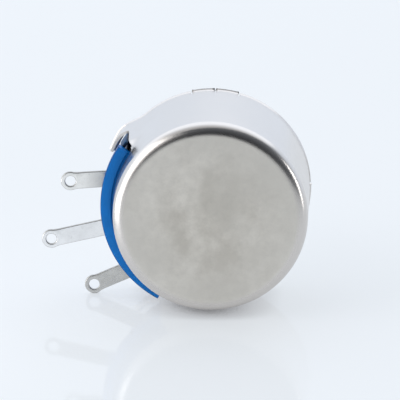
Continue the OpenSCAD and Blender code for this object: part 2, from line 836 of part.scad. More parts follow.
module wiper_contact() {
    color("dimgray") lay_down() rotate([0, 0, arm_angle])
        translate([contact_tip_r - contact_t, 0, contact_h]) rotate([0, 90, 0]) {
            cylinder(d = contact_d, h = contact_t * 0.6);
            translate([0, 0, contact_t * 0.6])
                cylinder(d1 = contact_d, d2 = contact_d * 0.6, h = contact_t * 0.4);
        }
}

// Spring under the disc, with a finger that presses on the collector ring
module collector_spring() {
    high = disc_h;
    low = high - spring_t;
    finger_w = 1.4;
    dimple_d = 1;
    dimple_h = collector_top_h + run_gap;
    color("gold") lay_down() difference() {
        union() {
            ring(hub_d / 2 + loose_gap, strip_out_r, low, high);
            rotate([0, 0, arm_angle + 180]) translate([rotor_rivet_r, -finger_w / 2, low])
                cube([collector_r + dimple_d / 2 - rotor_rivet_r, finger_w, spring_t]);
            rotate([0, 0, arm_angle + 180]) translate([collector_r, 0, dimple_h])
                cylinder(d1 = dimple_d / 2, d2 = dimple_d, h = low - dimple_h + eps);
        }
        for (side = [-1, 1]) rotate([0, 0, arm_angle + side * 90])
            translate([rotor_rivet_r, 0, 0]) cylinder(d = rivet_d + 2 * eps, h = body_depth);
    }
}

module wiper_rivets() {
    low = disc_h - spring_t;
    high = rotor_top_h + spring_t;
    color("goldenrod") lay_down() for (side = [-1, 1])
        rotate([0, 0, arm_angle + side * 90]) translate([rotor_rivet_r, 0, 0]) {
            translate([0, 0, low - rivet_head_t])
                cylinder(d1 = rivet_head_d * head_share, d2 = rivet_head_d, h = rivet_head_t);
            translate([0, 0, low - eps]) cylinder(d = rivet_d, h = high - low + 2 * eps);
            translate([0, 0, high])
                cylinder(d1 = rivet_head_d, d2 = rivet_head_d * head_share, h = rivet_head_t);
        }
}

rear_cover();
front_plate();
bushing();
terminal_base();
insulating_disc();
winding_former();
resistance_winding();
end_clip_upper();
end_clip_lower();
terminal_upper();
terminal_middle();
terminal_lower();
terminal_rivets();
collector_ring();
shaft();
retaining_ring();
thrust_washer();
rotor_disc();
wiper_arm();
wiper_contact();
collector_spring();
wiper_rivets();
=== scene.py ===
"""Looks of a wirewound potentiometer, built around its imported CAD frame.

Lengths are in millimetres in the shape code and turned to metres as the meshes are made.
A point is given as (radius, angle, height): the angle counts anticlockwise from +X towards
+Z as seen from behind the can, and the height counts from the mounting face towards -Y.
"""

import math

import bmesh
import bpy
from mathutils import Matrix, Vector


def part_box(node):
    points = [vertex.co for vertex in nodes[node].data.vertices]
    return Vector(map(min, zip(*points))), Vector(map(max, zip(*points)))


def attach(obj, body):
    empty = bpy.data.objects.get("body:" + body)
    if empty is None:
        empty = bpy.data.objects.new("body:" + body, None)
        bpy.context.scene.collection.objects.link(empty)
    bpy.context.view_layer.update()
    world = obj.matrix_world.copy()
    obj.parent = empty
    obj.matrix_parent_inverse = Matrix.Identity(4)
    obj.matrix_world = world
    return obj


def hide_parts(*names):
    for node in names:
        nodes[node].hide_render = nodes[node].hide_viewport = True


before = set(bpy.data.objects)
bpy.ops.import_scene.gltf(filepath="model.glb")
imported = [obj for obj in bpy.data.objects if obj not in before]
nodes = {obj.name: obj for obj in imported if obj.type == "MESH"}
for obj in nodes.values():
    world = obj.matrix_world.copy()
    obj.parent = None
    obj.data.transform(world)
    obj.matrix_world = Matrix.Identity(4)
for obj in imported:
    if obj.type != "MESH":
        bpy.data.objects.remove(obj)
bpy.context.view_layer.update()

MM = 0.001

# Sizes, close to the solids' own; a comment gives theirs where a difference is known
CAN_R = 10.75
CAN_TAPER = 0.5
DEPTH = 14.6
SHEET = 0.35
CORNER = 1.35  # 1.0 in the solids
RIM_H = 0.4
WINDOW_FROM, WINDOW_TO = 142.0, 241.5
WINDOW_H = 10.0
WINDOW_CORNER_W, WINDOW_CORNER_H = 0.6, 1.0  # 0.9 and 1.5 in the solids
EAR_ROOT = 11.0
EAR_REACH = 18.0
EAR_RISE = 19.0
EAR_FLARE = 1.1
EAR_JOIN_H, EAR_FADE = 10.2, 2.6  # 9.8 and 3.8 in the solids
EAR_EDGE_H = 4.4
EAR_FALL = 0.42
EAR_LIP = 0.35
EAR_LIP_ANGLE = 8.0
# The window's lower corner is pulled out beside the guard's end, in the scene alone
PULL, PULL_ANGLE = 0.85, 6.0
PULL_TOP_H, PULL_FADE = 10.5, 1.2
CLAW_PAIRS = (88.0, -12.2, 270.0)
CLAW_ANGLE = 13.0
CLAW_BULGE = 0.15
CLAW_REACH = 1.7
FOLD_R, FOLD_H, CLAW_H = 0.30, 0.35, 0.05  # the fold's is 0.245 in the solids
FOLD_STEPS, CLAW_STEPS = 8, 4
CLAW_TAPER = 0.10
# The claws' corners are burred and the open rim is drawn out into a fine lip, in the scene alone
BURR, BURR_ANGLE = 0.06, 1.3
RIM_LIP = 0.09
SLIT = 0.2
SLIT_H = 1.5
PLATE_T = 1.0
PAD_R = 7.5
PLATE_R = 10.81
PLATE_TOP = 1.4
TAB_R, TAB_W, TAB_LEN = 9.6, 3.0, 2.2
BUSHING_R, BUSHING_LEN = 4.5, 8.0
SPIGOT_R, STAKE_R, STAKE_H = 4.8, 5.6, 1.8
THREAD_PITCH, THREAD_DEPTH = 0.75, 0.40
SHAFT_R, SHAFT_REACH = 3.0, 18.0
BORE_R = 3.03
GROOVE_R = 2.3
RING_T, RING_R = 0.7, 4.0
SLOT_W, SLOT_DEPTH = 1.0, 1.6
BASE_R = 10.30
GUARD_H, GUARD_T = 9.6, 1.2
GUARD_R = 12.3
GUARD_FROM, GUARD_TO = 146.0, 241.0
GUARD_STEP_R, GUARD_STEP = 11.12, 0.12  # 11.15 and 0.2 in the solids
FOOT_FROM, FOOT_IN_R, FOOT_WALL_R, FOOT_R, FOOT_STEP_H = 142.5, 11.45, 11.55, 11.93, 4.7
RIVET_R = 8.43
RIVET_ANGLE, RIVET_PITCH = 199.5, 34.5
LUG_H, LUG_T, LUG_W, LUG_END = 4.6, 0.4, 1.9, 2.15
LUG_HOLE = 1.2
LUGS = {
    "terminal_upper": (RIVET_ANGLE - RIVET_PITCH, 184.0, 7.8),
    "terminal_middle": (RIVET_ANGLE, 193.0, 10.5),
    "terminal_lower": (RIVET_ANGLE + RIVET_PITCH, 204.0, 9.2),
}
ARM_ANGLE = 19.5
STOP_R, STOP_HALF, STOP_DROP = 4.7, 27, 0.7  # the drop is 0.8 in the solids
# The real wire's turns are finer than the ridges that stand for them in the solids
WIRE_R, WIRE_PITCH, WIRE_SWEEP = 0.075, 0.165, 257.0

# The can's mesh: columns round it, rings on its face, and rows of its corner and wall
COLUMN_STEP, COLUMN_ROOM = 1.25, 0.45
FACE_RINGS = (0.6, 1.8, 3.2, 4.8, 6.4, 7.8, 8.7, 9.2)
CORNER_ROWS, ABOVE_ROWS, WINDOW_ROWS, LOW_ROWS = 10, 10, 16, 14

# Tints of the can's face: its mottling, patches, specks, a paler outer part that is painted light, and polished wall
CAN_DARK, CAN_LIGHT = (0.575, 0.535, 0.470), (0.825, 0.78, 0.705)
CAN_PATCH, CAN_SPECK = (0.605, 0.57, 0.508), (0.34, 0.32, 0.29)
CAN_OUTER_PAINTED_LIGHT, CAN_WALL = (0.82, 0.79, 0.735), (0.668, 0.635, 0.606)

# The floor's height, 0.02 under the lowest lug
FLOOR_Z = -11.66
# Colours of the floor: in light, in shade under the object, and as the camera and mirrors see it
FLOOR_LOW, FLOOR_HIGH = (0.86, 0.885, 0.92), (0.88, 0.905, 0.94)
FLOOR_SEEN = (0.905, 0.945, 0.98)
FLOOR_SHADE, FLOOR_CONTACT = (0.60, 0.61, 0.635), (0.15, 0.15, 0.155)
FLOOR_GLOW, MIRROR_GLOW = 0.60, 0.55
FLOOR_SHADE_REACH, CREVICE_REACH = 5.0, 2.4

# The world: its light, its look to the camera, and its strength along Y as added ramps
WORLD_LIGHT, WORLD_SEEN = (0.85, 0.93, 1.05), (0.875, 0.937, 0.99)
WORLD_RAMPS = (("LINEAR", -0.95, -0.25, 0.05, 0.18), ("SMOOTHSTEP", -0.25, 0.50, 0.0, 0.90))

# Lamps in metres and watts: name, size, power, place, and the point that each aims at
LAMPS = (
    ("softbox_top", (1.20, 0.80), 1.3, (-0.05, 0.16, 0.42), (0, 0, 0)),
    ("softbox_left", (0.46, 0.46), 1.15, (-0.46, -0.19, 0.20), (0, 0, 0)),
    ("softbox_left_rim", (0.85, 0.60), 0.55, (-0.48, -0.20, 0.23), (0, 0, 0)),
    ("strip_right", (0.0175, 0.058), 0.0012, (0.10, -0.027, 0.0185), (0, 0, 0)),
    ("card_left", (0.036, 0.012), 0.003, (-0.046, -0.022, -0.004), (-0.0105, -0.0142, 0)),
)
STRIP_SPREAD = 50  # degrees

# The camera's place in metres, its direction and its lens in millimetres
CAMERA_AT, CAMERA_ALONG = (0.00380, -0.28219, 0.07853), (-0.01762, 0.96153, -0.27413)
CAMERA_LENS, CAMERA_SENSOR = 229.4, 36.0


# ---- Small helpers ----


def smooth(t):
    """Eases from 0 to 1, and stays there outside that range."""
    t = min(1.0, max(0.0, t))
    return t * t * (3 - 2 * t)


def can_r(h):
    """Outer radius of the plain can at a height, without its ears."""
    return CAN_R + CAN_TAPER * (DEPTH - CORNER - h) / (DEPTH - CORNER - RIM_H)


def polar(r, a, h):
    """A point of the part, in metres."""
    t = math.radians(a)
    return Vector((r * math.cos(t) * MM, -h * MM, r * math.sin(t) * MM))


def flat(x, z, h):
    """A point of the part from its place across the shaft's axis, in metres."""
    return Vector((x * MM, -h * MM, z * MM))


def make(name, verts, faces, body="body", replaces=(), slot=None, material=None):
    """A welded mesh object that rides on a body."""
    mesh = bpy.data.meshes.new(name)
    mesh.from_pydata([tuple(v) for v in verts], [], faces)
    mesh.update()
    bm = bmesh.new()
    bm.from_mesh(mesh)
    bmesh.ops.remove_doubles(bm, verts=bm.verts, dist=1e-7)
    bmesh.ops.dissolve_degenerate(bm, edges=bm.edges, dist=1e-7)
    bmesh.ops.recalc_face_normals(bm, faces=bm.faces)
    bm.to_mesh(mesh)
    bm.free()
    obj = bpy.data.objects.new(name, mesh)
    bpy.context.scene.collection.objects.link(obj)
    if material:
        mesh.materials.append(material)
    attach(obj, body)
    if replaces:
        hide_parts(*replaces)
    return obj


def shade(obj, angle=35):
    """Smooth shading with edges sharper than the angle kept crisp."""
    for p in obj.data.polygons:
        p.use_smooth = True
    bm = bmesh.new()
    bm.from_mesh(obj.data)
    limit = math.radians(angle)
    for e in bm.edges:
        e.smooth = len(e.link_faces) != 2 or e.calc_face_angle(0) < limit
    bm.to_mesh(obj.data)
    bm.free()


def level(obj):
    """Keeps the shading of flat faces flat beside their rounded edges."""
    m = obj.modifiers.new("level", "WEIGHTED_NORMAL")
    m.keep_sharp = True
    m.weight = 90
    apply_modifiers(obj)


def add_bevel(obj, width, segments=2, angle=40):
    """Rounds the edges sharper than the angle; the modifier isn't applied yet."""
    m = obj.modifiers.new("edges", "BEVEL")
    m.width = width * MM
    m.segments = segments
    m.limit_method = "ANGLE"
    m.angle_limit = math.radians(angle)
    m.harden_normals = False


def bevel(obj, width, segments=2, angle=40):
    add_bevel(obj, width, segments, angle)
    apply_modifiers(obj)


def apply_modifiers(obj):
    """Puts the modifiers' result in the object's own mesh."""
    bpy.context.view_layer.update()
    depsgraph = bpy.context.evaluated_depsgraph_get()
    done = bpy.data.meshes.new_from_object(obj.evaluated_get(depsgraph))
    old = obj.data
    obj.modifiers.clear()
    obj.data = done
    bpy.data.meshes.remove(old)
    done.name = obj.name


def skin(rings, full=False, closed=True):
    """Vertices and faces over rings of points, capped unless the last ring meets the first."""
    n, count = len(rings[0]), len(rings)
    faces = []
    for i in range(count if full else count - 1):
        k = (i + 1) % count
        for j in range(n if closed else n - 1):
            m = (j + 1) % n
            faces.append((i * n + j, k * n + j, k * n + m, i * n + m))
    if closed and not full:
        faces.append(tuple(range(n)))
        faces.append(tuple(range((count - 1) * n, count * n))[::-1])
    return [v for ring in rings for v in ring], faces


def lathe(profile, steps=128, from_a=0.0, to_a=360.0, closed_profile=True):
    """Vertices and faces of a profile of (r, h) turned about the shaft's axis."""
    full = abs(to_a - from_a - 360.0) < 1e-6
    rings = []
    for i in range(steps if full else steps + 1):
        a = from_a + (to_a - from_a) * i / steps
        rings.append([polar(max(r, 0.0), a, h) for r, h in profile])
    return skin(rings, full, closed_profile)


def absorb(obj, verts, faces):
    """Adds closed shells to an object's mesh, under its first material."""
    mesh = bpy.data.meshes.new("shells")
    mesh.from_pydata([tuple(v) for v in verts], [], faces)
    bm = bmesh.new()
    bm.from_mesh(mesh)
    bmesh.ops.recalc_face_normals(bm, faces=bm.faces)
    bm.from_mesh(obj.data)
    bm.to_mesh(obj.data)
    bm.free()
    bpy.data.meshes.remove(mesh)


def combine(obj, other, operation):
    """Boolean of two closed objects; the second one is used up."""
    m = obj.modifiers.new("combine", "BOOLEAN")
    m.object = other
    m.operation = operation
    m.solver = "EXACT"
    apply_modifiers(obj)
    bpy.data.objects.remove(other)


def tool(verts, faces):
    """A loose closed shape that combine() uses up."""
    mesh = bpy.data.meshes.new("tool")
    mesh.from_pydata([tuple(v) for v in verts], [], faces)
    bm = bmesh.new()
    bm.from_mesh(mesh)
    bmesh.ops.recalc_face_normals(bm, faces=bm.faces)
    bm.to_mesh(mesh)
    bm.free()
    obj = bpy.data.objects.new("tool", mesh)
    bpy.context.scene.collection.objects.link(obj)
    return obj


def bar(length, width, low, high, a, from_r=0.0):
    """A box that runs outwards at an angle, between two heights."""
    c, d = math.cos(math.radians(a)), math.sin(math.radians(a))
    verts = []
    for h in (low, high):
        for along, across in ((0, -1), (length, -1), (length, 1), (0, 1)):
            x, y = from_r + along, across * width / 2
            verts.append(flat(x * c - y * d, x * d + y * c, h))
    faces = [(0, 1, 2, 3), (7, 6, 5, 4)]
    faces += [(i, (i + 1) % 4, (i + 1) % 4 + 4, i + 4) for i in range(4)]
    return verts, faces


def heights(node):
    """A CAD node's lowest and highest height from the mounting face."""
    lows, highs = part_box(node)
    return -highs[1] / MM, -lows[1] / MM


def arc(cx, cz, r, from_a, to_a, steps):
    """Points of an arc, both ends included."""
    return [
        (cx + r * math.cos(math.radians(a)), cz + r * math.sin(math.radians(a)))
        for a in (from_a + (to_a - from_a) * i / steps for i in range(steps + 1))
    ]


def shrink(loop, by):
    """A closed loop moved inwards; a negative distance moves it outwards."""
    n = len(loop)
    area = sum(loop[i - 1][0] * loop[i][1] - loop[i][0] * loop[i - 1][1] for i in range(n))
    turn = 1 if area > 0 else -1
    moved = []
    for i, (x, y) in enumerate(loop):
        dx, dy = loop[(i + 1) % n][0] - loop[i - 1][0], loop[(i + 1) % n][1] - loop[i - 1][1]
        size = math.hypot(dx, dy)
        moved.append((x - turn * by * dy / size, y + turn * by * dx / size))
    return moved


def plate(name, outline, holes, low, high, edge=0.0, **options):
    """A flat sheet with an outline and holes, between two heights, its edges rounded if asked."""
    steps = 4 if edge else 0
    rings = [(edge, low)] + [
        (edge * (1 - math.sin(t)), low + edge * (1 - math.cos(t)))
        for t in (math.pi / 2 * k / steps for k in range(1, steps + 1))
    ]
    rings += [(inset, high + low - h) for inset, h in reversed(rings)]
    bm = bmesh.new()
    for loop, side in [(outline, 1)] + [(hole, -1) for hole in holes]:
        layers = [[bm.verts.new(flat(x, z, h)) for x, z in shrink(loop, side * inset)] for inset, h in rings]
        n = len(loop)
        for a, b in zip(layers, layers[1:]):
            for i in range(n):
                bm.faces.new((a[i], a[(i + 1) % n], b[(i + 1) % n], b[i]))
    for h in (low, high):
        edges = [e for e in bm.edges if e.is_boundary and all(abs(v.co.y + h * MM) < 1e-9 for v in e.verts)]
        bmesh.ops.triangle_fill(bm, use_beauty=True, use_dissolve=False, edges=edges)
    bm.verts.index_update()
    verts = [v.co.copy() for v in bm.verts]
    faces = [tuple(v.index for v in f.verts) for f in bm.faces]
    bm.free()
    return make(name, verts, faces, **options)


def join(parts):
    """Several shells' vertices and faces as one list of each."""
    verts, faces = [], []
    for v, f in parts:
        start = len(verts)
        verts += v
        faces += [tuple(i + start for i in face) for face in f]
    return verts, faces


# ---- Materials ----


class Nodes:
    """Short forms for building a node tree."""

    def __init__(self, owner):
        owner.use_nodes = True
        self.tree = owner.node_tree
        self.tree.nodes.clear()

    def add(self, kind, **values):
        node = self.tree.nodes.new(kind)
        for k, v in values.items():
            setattr(node, k, v)
        return node

    def link(self, a, b):
        self.tree.links.new(a, b)

    def feed(self, socket, value):
        """Links another node's output to a socket, or sets the socket to a number or colour."""
        if isinstance(value, bpy.types.NodeSocket):
            self.link(value, socket)
        else:
            socket.default_value = (*value, 1.0) if isinstance(value, tuple) else value

    def ramp(self, value, low, high, to_low=0.0, to_high=1.0, kind="LINEAR"):
        node = self.add("ShaderNodeMapRange", clamp=True, interpolation_type=kind)
        self.link(value, node.inputs["Value"])
        for k, v in (("From Min", low), ("From Max", high), ("To Min", to_low), ("To Max", to_high)):
            node.inputs[k].default_value = v
        return node.outputs["Result"]

    def mix(self, factor, a, b):
        node = self.add("ShaderNodeMix", data_type="RGBA")
        self.link(factor, node.inputs["Factor"])
        self.feed(node.inputs["A"], a)
        self.feed(node.inputs["B"], b)
        return node.outputs["Result"]

    def math(self, operation, a, b=0.0):
        node = self.add("ShaderNodeMath", operation=operation)
        self.feed(node.inputs[0], a)
        self.feed(node.inputs[1], b)
        return node.outputs[0]

    def glow(self, kind, colour, strength=1.0):
        """An emission or background shader."""
        node = self.add(kind)
        self.feed(node.inputs["Color"], colour)
        self.feed(node.inputs["Strength"], strength)
        return node.outputs[0]

    def mix_shader(self, factor, a, b):
        node = self.add("ShaderNodeMixShader")
        for socket, value in zip(node.inputs, (factor, a, b)):
            self.link(value, socket)
        return node.outputs[0]


class Surface(Nodes):
    """A material with a principled shader."""

    def __init__(self, name):
        self.material = bpy.data.materials.new(name)
        super().__init__(self.material)
        self.out = self.add("ShaderNodeOutputMaterial")
        self.shader = self.add("ShaderNodeBsdfPrincipled")
        self.link(self.shader.outputs[0], self.out.inputs[0])
        self.coords = self.add("ShaderNodeTexCoord").outputs["Object"]

    def set(self, **values):
        for k, v in values.items():
            self.shader.inputs[k.replace("_", " ")].default_value = v

    def noise(self, size, detail=3.0, rough=0.5, scale=None):
        """Noise whose features are about size millimetres across, stretched if asked."""
        node = self.add("ShaderNodeTexNoise")
        node.inputs["Scale"].default_value = 1000.0 / size
        node.inputs["Detail"].default_value = detail
        node.inputs["Roughness"].default_value = rough
        vector = self.coords
        if scale:
            mapping = self.add("ShaderNodeMapping")
            mapping.inputs["Scale"].default_value = scale
            self.link(vector, mapping.inputs["Vector"])
            vector = mapping.outputs[0]
        self.link(vector, node.inputs["Vector"])
        return node.outputs["Fac"]

    def openness(self, reach, samples):
        """How little stands within a reach in millimetres: 1 in the open."""
        node = self.add("ShaderNodeAmbientOcclusion", samples=samples)
        node.inputs["Distance"].default_value = reach * MM
        return node.outputs["AO"]

    def colour(self, value):
        self.link(value, self.shader.inputs["Base Color"])

    def roughness(self, value):
        self.link(value, self.shader.inputs["Roughness"])

    def bump(self, *layers):
        """Layers are (height, depth in millimetres)."""
        last = None
        for height, depth in layers:
            node = self.add("ShaderNodeBump")
            node.inputs["Strength"].default_value = 1.0
            node.inputs["Distance"].default_value = depth * MM
            self.link(height, node.inputs["Height"])
            if last:
                self.link(last, node.inputs["Normal"])
            last = node.outputs[0]
        self.link(last, self.shader.inputs["Normal"])

    def radius(self):
        """Distance from the shaft's axis in metres."""
        split = self.add("ShaderNodeSeparateXYZ")
        self.link(self.coords, split.inputs[0])
        squares = [self.math("POWER", split.outputs[axis], 2.0) for axis in ("X", "Z")]
        return self.math("SQRT", self.math("ADD", *squares))


def metal(name, colour, rough, grain=0.35, drawn=None, depth=0.0012, mottle=0.06):
    """Plated or bare metal: soft mottling, fine grain and a little unevenness in the gloss."""
    n = Surface(name)
    n.set(Metallic=1.0)
    cloud = n.noise(2.6, 4.0, 0.6)
    dark = tuple(c * (1 - mottle * 1.6) for c in colour)
    light = tuple(min(1.0, c * (1 + mottle)) for c in colour)
    n.colour(n.mix(n.ramp(cloud, 0.35, 0.65), dark, light))
    fine = n.noise(grain, 3.0, 0.6, scale=drawn)
    n.roughness(n.ramp(fine, 0.25, 0.75, rough * 0.85, rough * 1.2))
    n.bump((fine, depth), (cloud, depth * 2.5))
    return n.material


def can_material():
    """Satin nickel-plated drawn sheet."""
    n = Surface("can_metal")
    n.set(Metallic=1.0)
    cloud = n.noise(3.4, 5.0, 0.62)
    patch = n.noise(7.5, 3.0, 0.55)
    base = n.mix(n.ramp(cloud, 0.35, 0.65), CAN_DARK, CAN_LIGHT)
    base = n.mix(n.ramp(patch, 0.40, 0.70), base, CAN_PATCH)
    speck = n.noise(0.55, 3.0, 0.6)
    base = n.mix(n.ramp(speck, 0.40, 0.70, 0.0, 0.12), base, CAN_SPECK)
    # The face is satin and painted a little lighter outwards, a painted light; the die has polished the corner and wall
    radius = n.radius()
    face_r = CAN_R - CORNER
    drawn = n.ramp(radius, face_r * MM, (face_r + 0.5) * MM)
    outwards = n.math("MULTIPLY", n.ramp(radius, 2 * MM, face_r * MM), 0.45)
    n.colour(n.mix(drawn, n.mix(outwards, base, CAN_OUTER_PAINTED_LIGHT), CAN_WALL))
    grain = n.noise(0.16, 3.0, 0.65)
    satin = n.math("SUBTRACT", 1.0, n.math("MULTIPLY", drawn, 0.28))
    n.roughness(n.math("MULTIPLY", n.ramp(cloud, 0.3, 0.7, 0.30, 0.38), satin))
    n.bump((grain, 0.0016), (cloud, 0.012))
    return n.material


def lug_material(name, colour, rough, near_body_tone=1.0):
    """Tinned brass strip: a wavy hot-dip surface with duller blots, in places darker near the body."""
    n = Surface(name)
    n.set(Metallic=1.0)
    cloud = n.noise(1.6, 4.0, 0.6)
    blot = n.noise(0.45, 3.0, 0.6)
    body = n.mix(n.ramp(cloud, 0.35, 0.65), tuple(c * 0.92 for c in colour), colour)
    body = n.mix(n.ramp(blot, 0.60, 0.78), body, tuple(c * 0.84 for c in colour))
    if near_body_tone < 1.0:
        body = n.mix(n.ramp(n.radius(), 14.3 * MM, 12.0 * MM), body, tuple(c * near_body_tone for c in colour))
    n.colour(body)
    n.roughness(n.ramp(blot, 0.3, 0.7, rough * 0.85, rough * 1.2))
    n.bump((cloud, 0.014), (blot, 0.003))
    return n.material


def plastic(name, colour, rough, grain=0.12, depth=0.002, second=None, bumps=0.01, painted_crevice_shade=None):
    """Moulded plastic with a faint skin texture, and with painted shade darkening its corners if asked."""
    n = Surface(name)
    n.set(Specular_IOR_Level=0.3)
    cloud = n.noise(1.9, 3.0, 0.55)
    other = second or tuple(c * 0.88 for c in colour)
    body = n.mix(n.ramp(cloud, 0.35, 0.65), other, colour)
    if painted_crevice_shade:
        body = n.mix(n.ramp(n.openness(CREVICE_REACH, 8), 0.40, 0.95), painted_crevice_shade, body)
    n.colour(body)
    skin = n.noise(grain, 2.0, 0.6)
    n.roughness(n.ramp(cloud, 0.3, 0.7, rough * 0.85, rough * 1.15))
    n.bump((skin, depth), (cloud, bumps))
    return n.material


def fibre(name, colour, rough=0.75):
    """Pressed fibre or card: short strands in two shades."""
    n = Surface(name)
    strands = n.noise(0.12, 4.0, 0.7, scale=(1.0, 0.25, 1.0))
    cloud = n.noise(1.2, 3.0, 0.6)
    dark = tuple(c * 0.7 for c in colour)
    mixed = n.mix(n.ramp(strands, 0.3, 0.7), dark, colour)
    n.colour(n.mix(n.ramp(cloud, 0.4, 0.8), mixed, tuple(min(1, c * 1.15) for c in colour)))
    n.roughness(n.ramp(strands, 0.3, 0.7, rough, min(1.0, rough + 0.15)))
    n.bump((strands, 0.006))
    return n.material


M = {
    "can": can_material(),
    "can_inside_painted_shade": metal("can_metal_inside_painted_shade", (0.085, 0.115, 0.165), 0.40, grain=0.2),
    "plate": metal("plate_metal", (0.60, 0.595, 0.585), 0.33, drawn=(1.0, 0.2, 1.0)),
    "bushing": metal("bushing_metal", (0.64, 0.625, 0.575), 0.27, grain=0.2),
    "base": plastic("base_plastic", (0.002, 0.20, 0.66), 0.42, second=(0.002, 0.185, 0.60)),
    "base_edge_painted_shade": plastic("base_plastic_edge_painted_shade", (0.002, 0.085, 0.30), 0.50, second=(0.002, 0.070, 0.26)),
    "base_recess_painted_shade": plastic(
        "base_plastic_recess_painted_shade", (0.003, 0.120, 0.42), 0.45, second=(0.003, 0.100, 0.36), painted_crevice_shade=(0.002, 0.010, 0.05)
    ),
    "base_foot_painted_shade": plastic(
        "base_plastic_foot_painted_shade", (0.012, 0.075, 0.185), 0.60, second=(0.008, 0.040, 0.110), painted_crevice_shade=(0.002, 0.006, 0.02)
    ),
    # The three lugs are one tinned metal in three painted tones: painted light on the upper and middle ones, painted
    # shade on the lower one
    "terminal_upper": lug_material("terminal_bright_painted_light", (0.96, 0.95, 0.92), 0.20, near_body_tone=0.55),
    "terminal_middle": lug_material("terminal_pale_painted_light", (0.97, 0.97, 0.97), 0.18),
    "terminal_lower": lug_material("terminal_grey_painted_shade", (0.68, 0.67, 0.64), 0.26, near_body_tone=0.75),
    "terminal_edge": metal("terminal_edge", (0.47, 0.455, 0.43), 0.36, grain=0.15),
    "insulator": fibre("insulator", (0.40, 0.28, 0.15)),
    "card": fibre("card", (0.24, 0.13, 0.055)),
    "wire": metal("resistance_wire", (0.52, 0.48, 0.42), 0.28, grain=0.05, depth=0.0006),
    "clip": metal("clip_metal", (0.66, 0.48, 0.20), 0.30),
    "rivet": metal("rivet_metal", (0.62, 0.46, 0.20), 0.34),
    "collector": metal("collector_metal", (0.72, 0.54, 0.26), 0.20),
    "shaft": metal("shaft_metal", (0.66, 0.66, 0.655), 0.26, grain=0.09, drawn=(1.0, 6.0, 1.0)),
    "ring": metal("ring_metal", (0.20, 0.20, 0.205), 0.36),
    "washer": fibre("washer_fibre", (0.34, 0.26, 0.14)),
    "rotor": plastic("rotor_phenolic", (0.075, 0.030, 0.013), 0.50, second=(0.045, 0.018, 0.009)),
    "spring": metal("spring_metal", (0.68, 0.42, 0.20), 0.26),
    "contact": metal("contact_metal", (0.10, 0.10, 0.105), 0.45),
}

NODE_MATERIALS = {
    "rear_cover": "can",
    "front_plate": "plate",
    "bushing": "bushing",
    "terminal_base": "base",
    "insulating_disc": "insulator",
    "winding_former": "card",
    "resistance_winding": "wire",
    "end_clip_upper": "clip",
    "end_clip_lower": "clip",
    "terminal_upper": "terminal_upper",
    "terminal_middle": "terminal_middle",
    "terminal_lower": "terminal_lower",
    "terminal_rivets": "rivet",
    "collector_ring": "collector",
    "shaft": "shaft",
    "retaining_ring": "ring",
    "thrust_washer": "washer",
    "rotor_disc": "rotor",
    "wiper_arm": "spring",
    "wiper_contact": "contact",
    "collector_spring": "spring",
    "wiper_rivets": "rivet",
}
for name, key in NODE_MATERIALS.items():
    mesh = nodes[name].data
    mesh.materials.clear()
    mesh.materials.append(M[key])


# ---- Can ----


def ear_side(a):
    """How far the angle lies inside an ear's own range, and from which side."""
    upper = a - (WINDOW_FROM - EAR_ROOT)
    lower = (WINDOW_TO + EAR_ROOT) - a
    return min(upper, lower)


def wall_r(a, h):
    """Outer radius of the can's wall, with the ears' flare and the wall's slight unevenness."""
    t = ear_side(a)
    flare = EAR_FLARE * smooth(t / EAR_RISE) * smooth((EAR_JOIN_H - h) / EAR_FADE)
    if a > WINDOW_TO - 1:
        rise = PULL * smooth((WINDOW_TO + PULL_ANGLE - a) / PULL_ANGLE)
        flare = max(flare, rise * smooth((PULL_TOP_H - h) / PULL_FADE))
    return can_r(h) + flare


def ear_edge(a):
    """Height of an ear's rear edge."""
    t = ear_side(a)
    if t <= EAR_ROOT:
        return EAR_EDGE_H
    fall = (EAR_EDGE_H - RIM_H - 1.0) * min(1.0, (t - EAR_ROOT) / EAR_REACH) ** EAR_FALL
    return EAR_EDGE_H - fall


def ear_lip(a):
    """Width of the lip turned in along an ear's front edge, widest at its root."""
    t = ear_side(a)
    if t <= 0:
        return 0.0
    wide = EAR_LIP * (2 - smooth((t - EAR_ROOT) / EAR_LIP_ANGLE))
    return min(wide, wall_r(a, RIM_H) - can_r(RIM_H))


def window_top(a):
    """Height of the window's rear edge, which slopes at its two corners."""
    inside = math.radians(min(a - WINDOW_FROM, WINDOW_TO - a)) * CAN_R
    k = 1 - min(1.0, max(0.0, inside) / WINDOW_CORNER_W)
    return WINDOW_H - WINDOW_CORNER_H * k


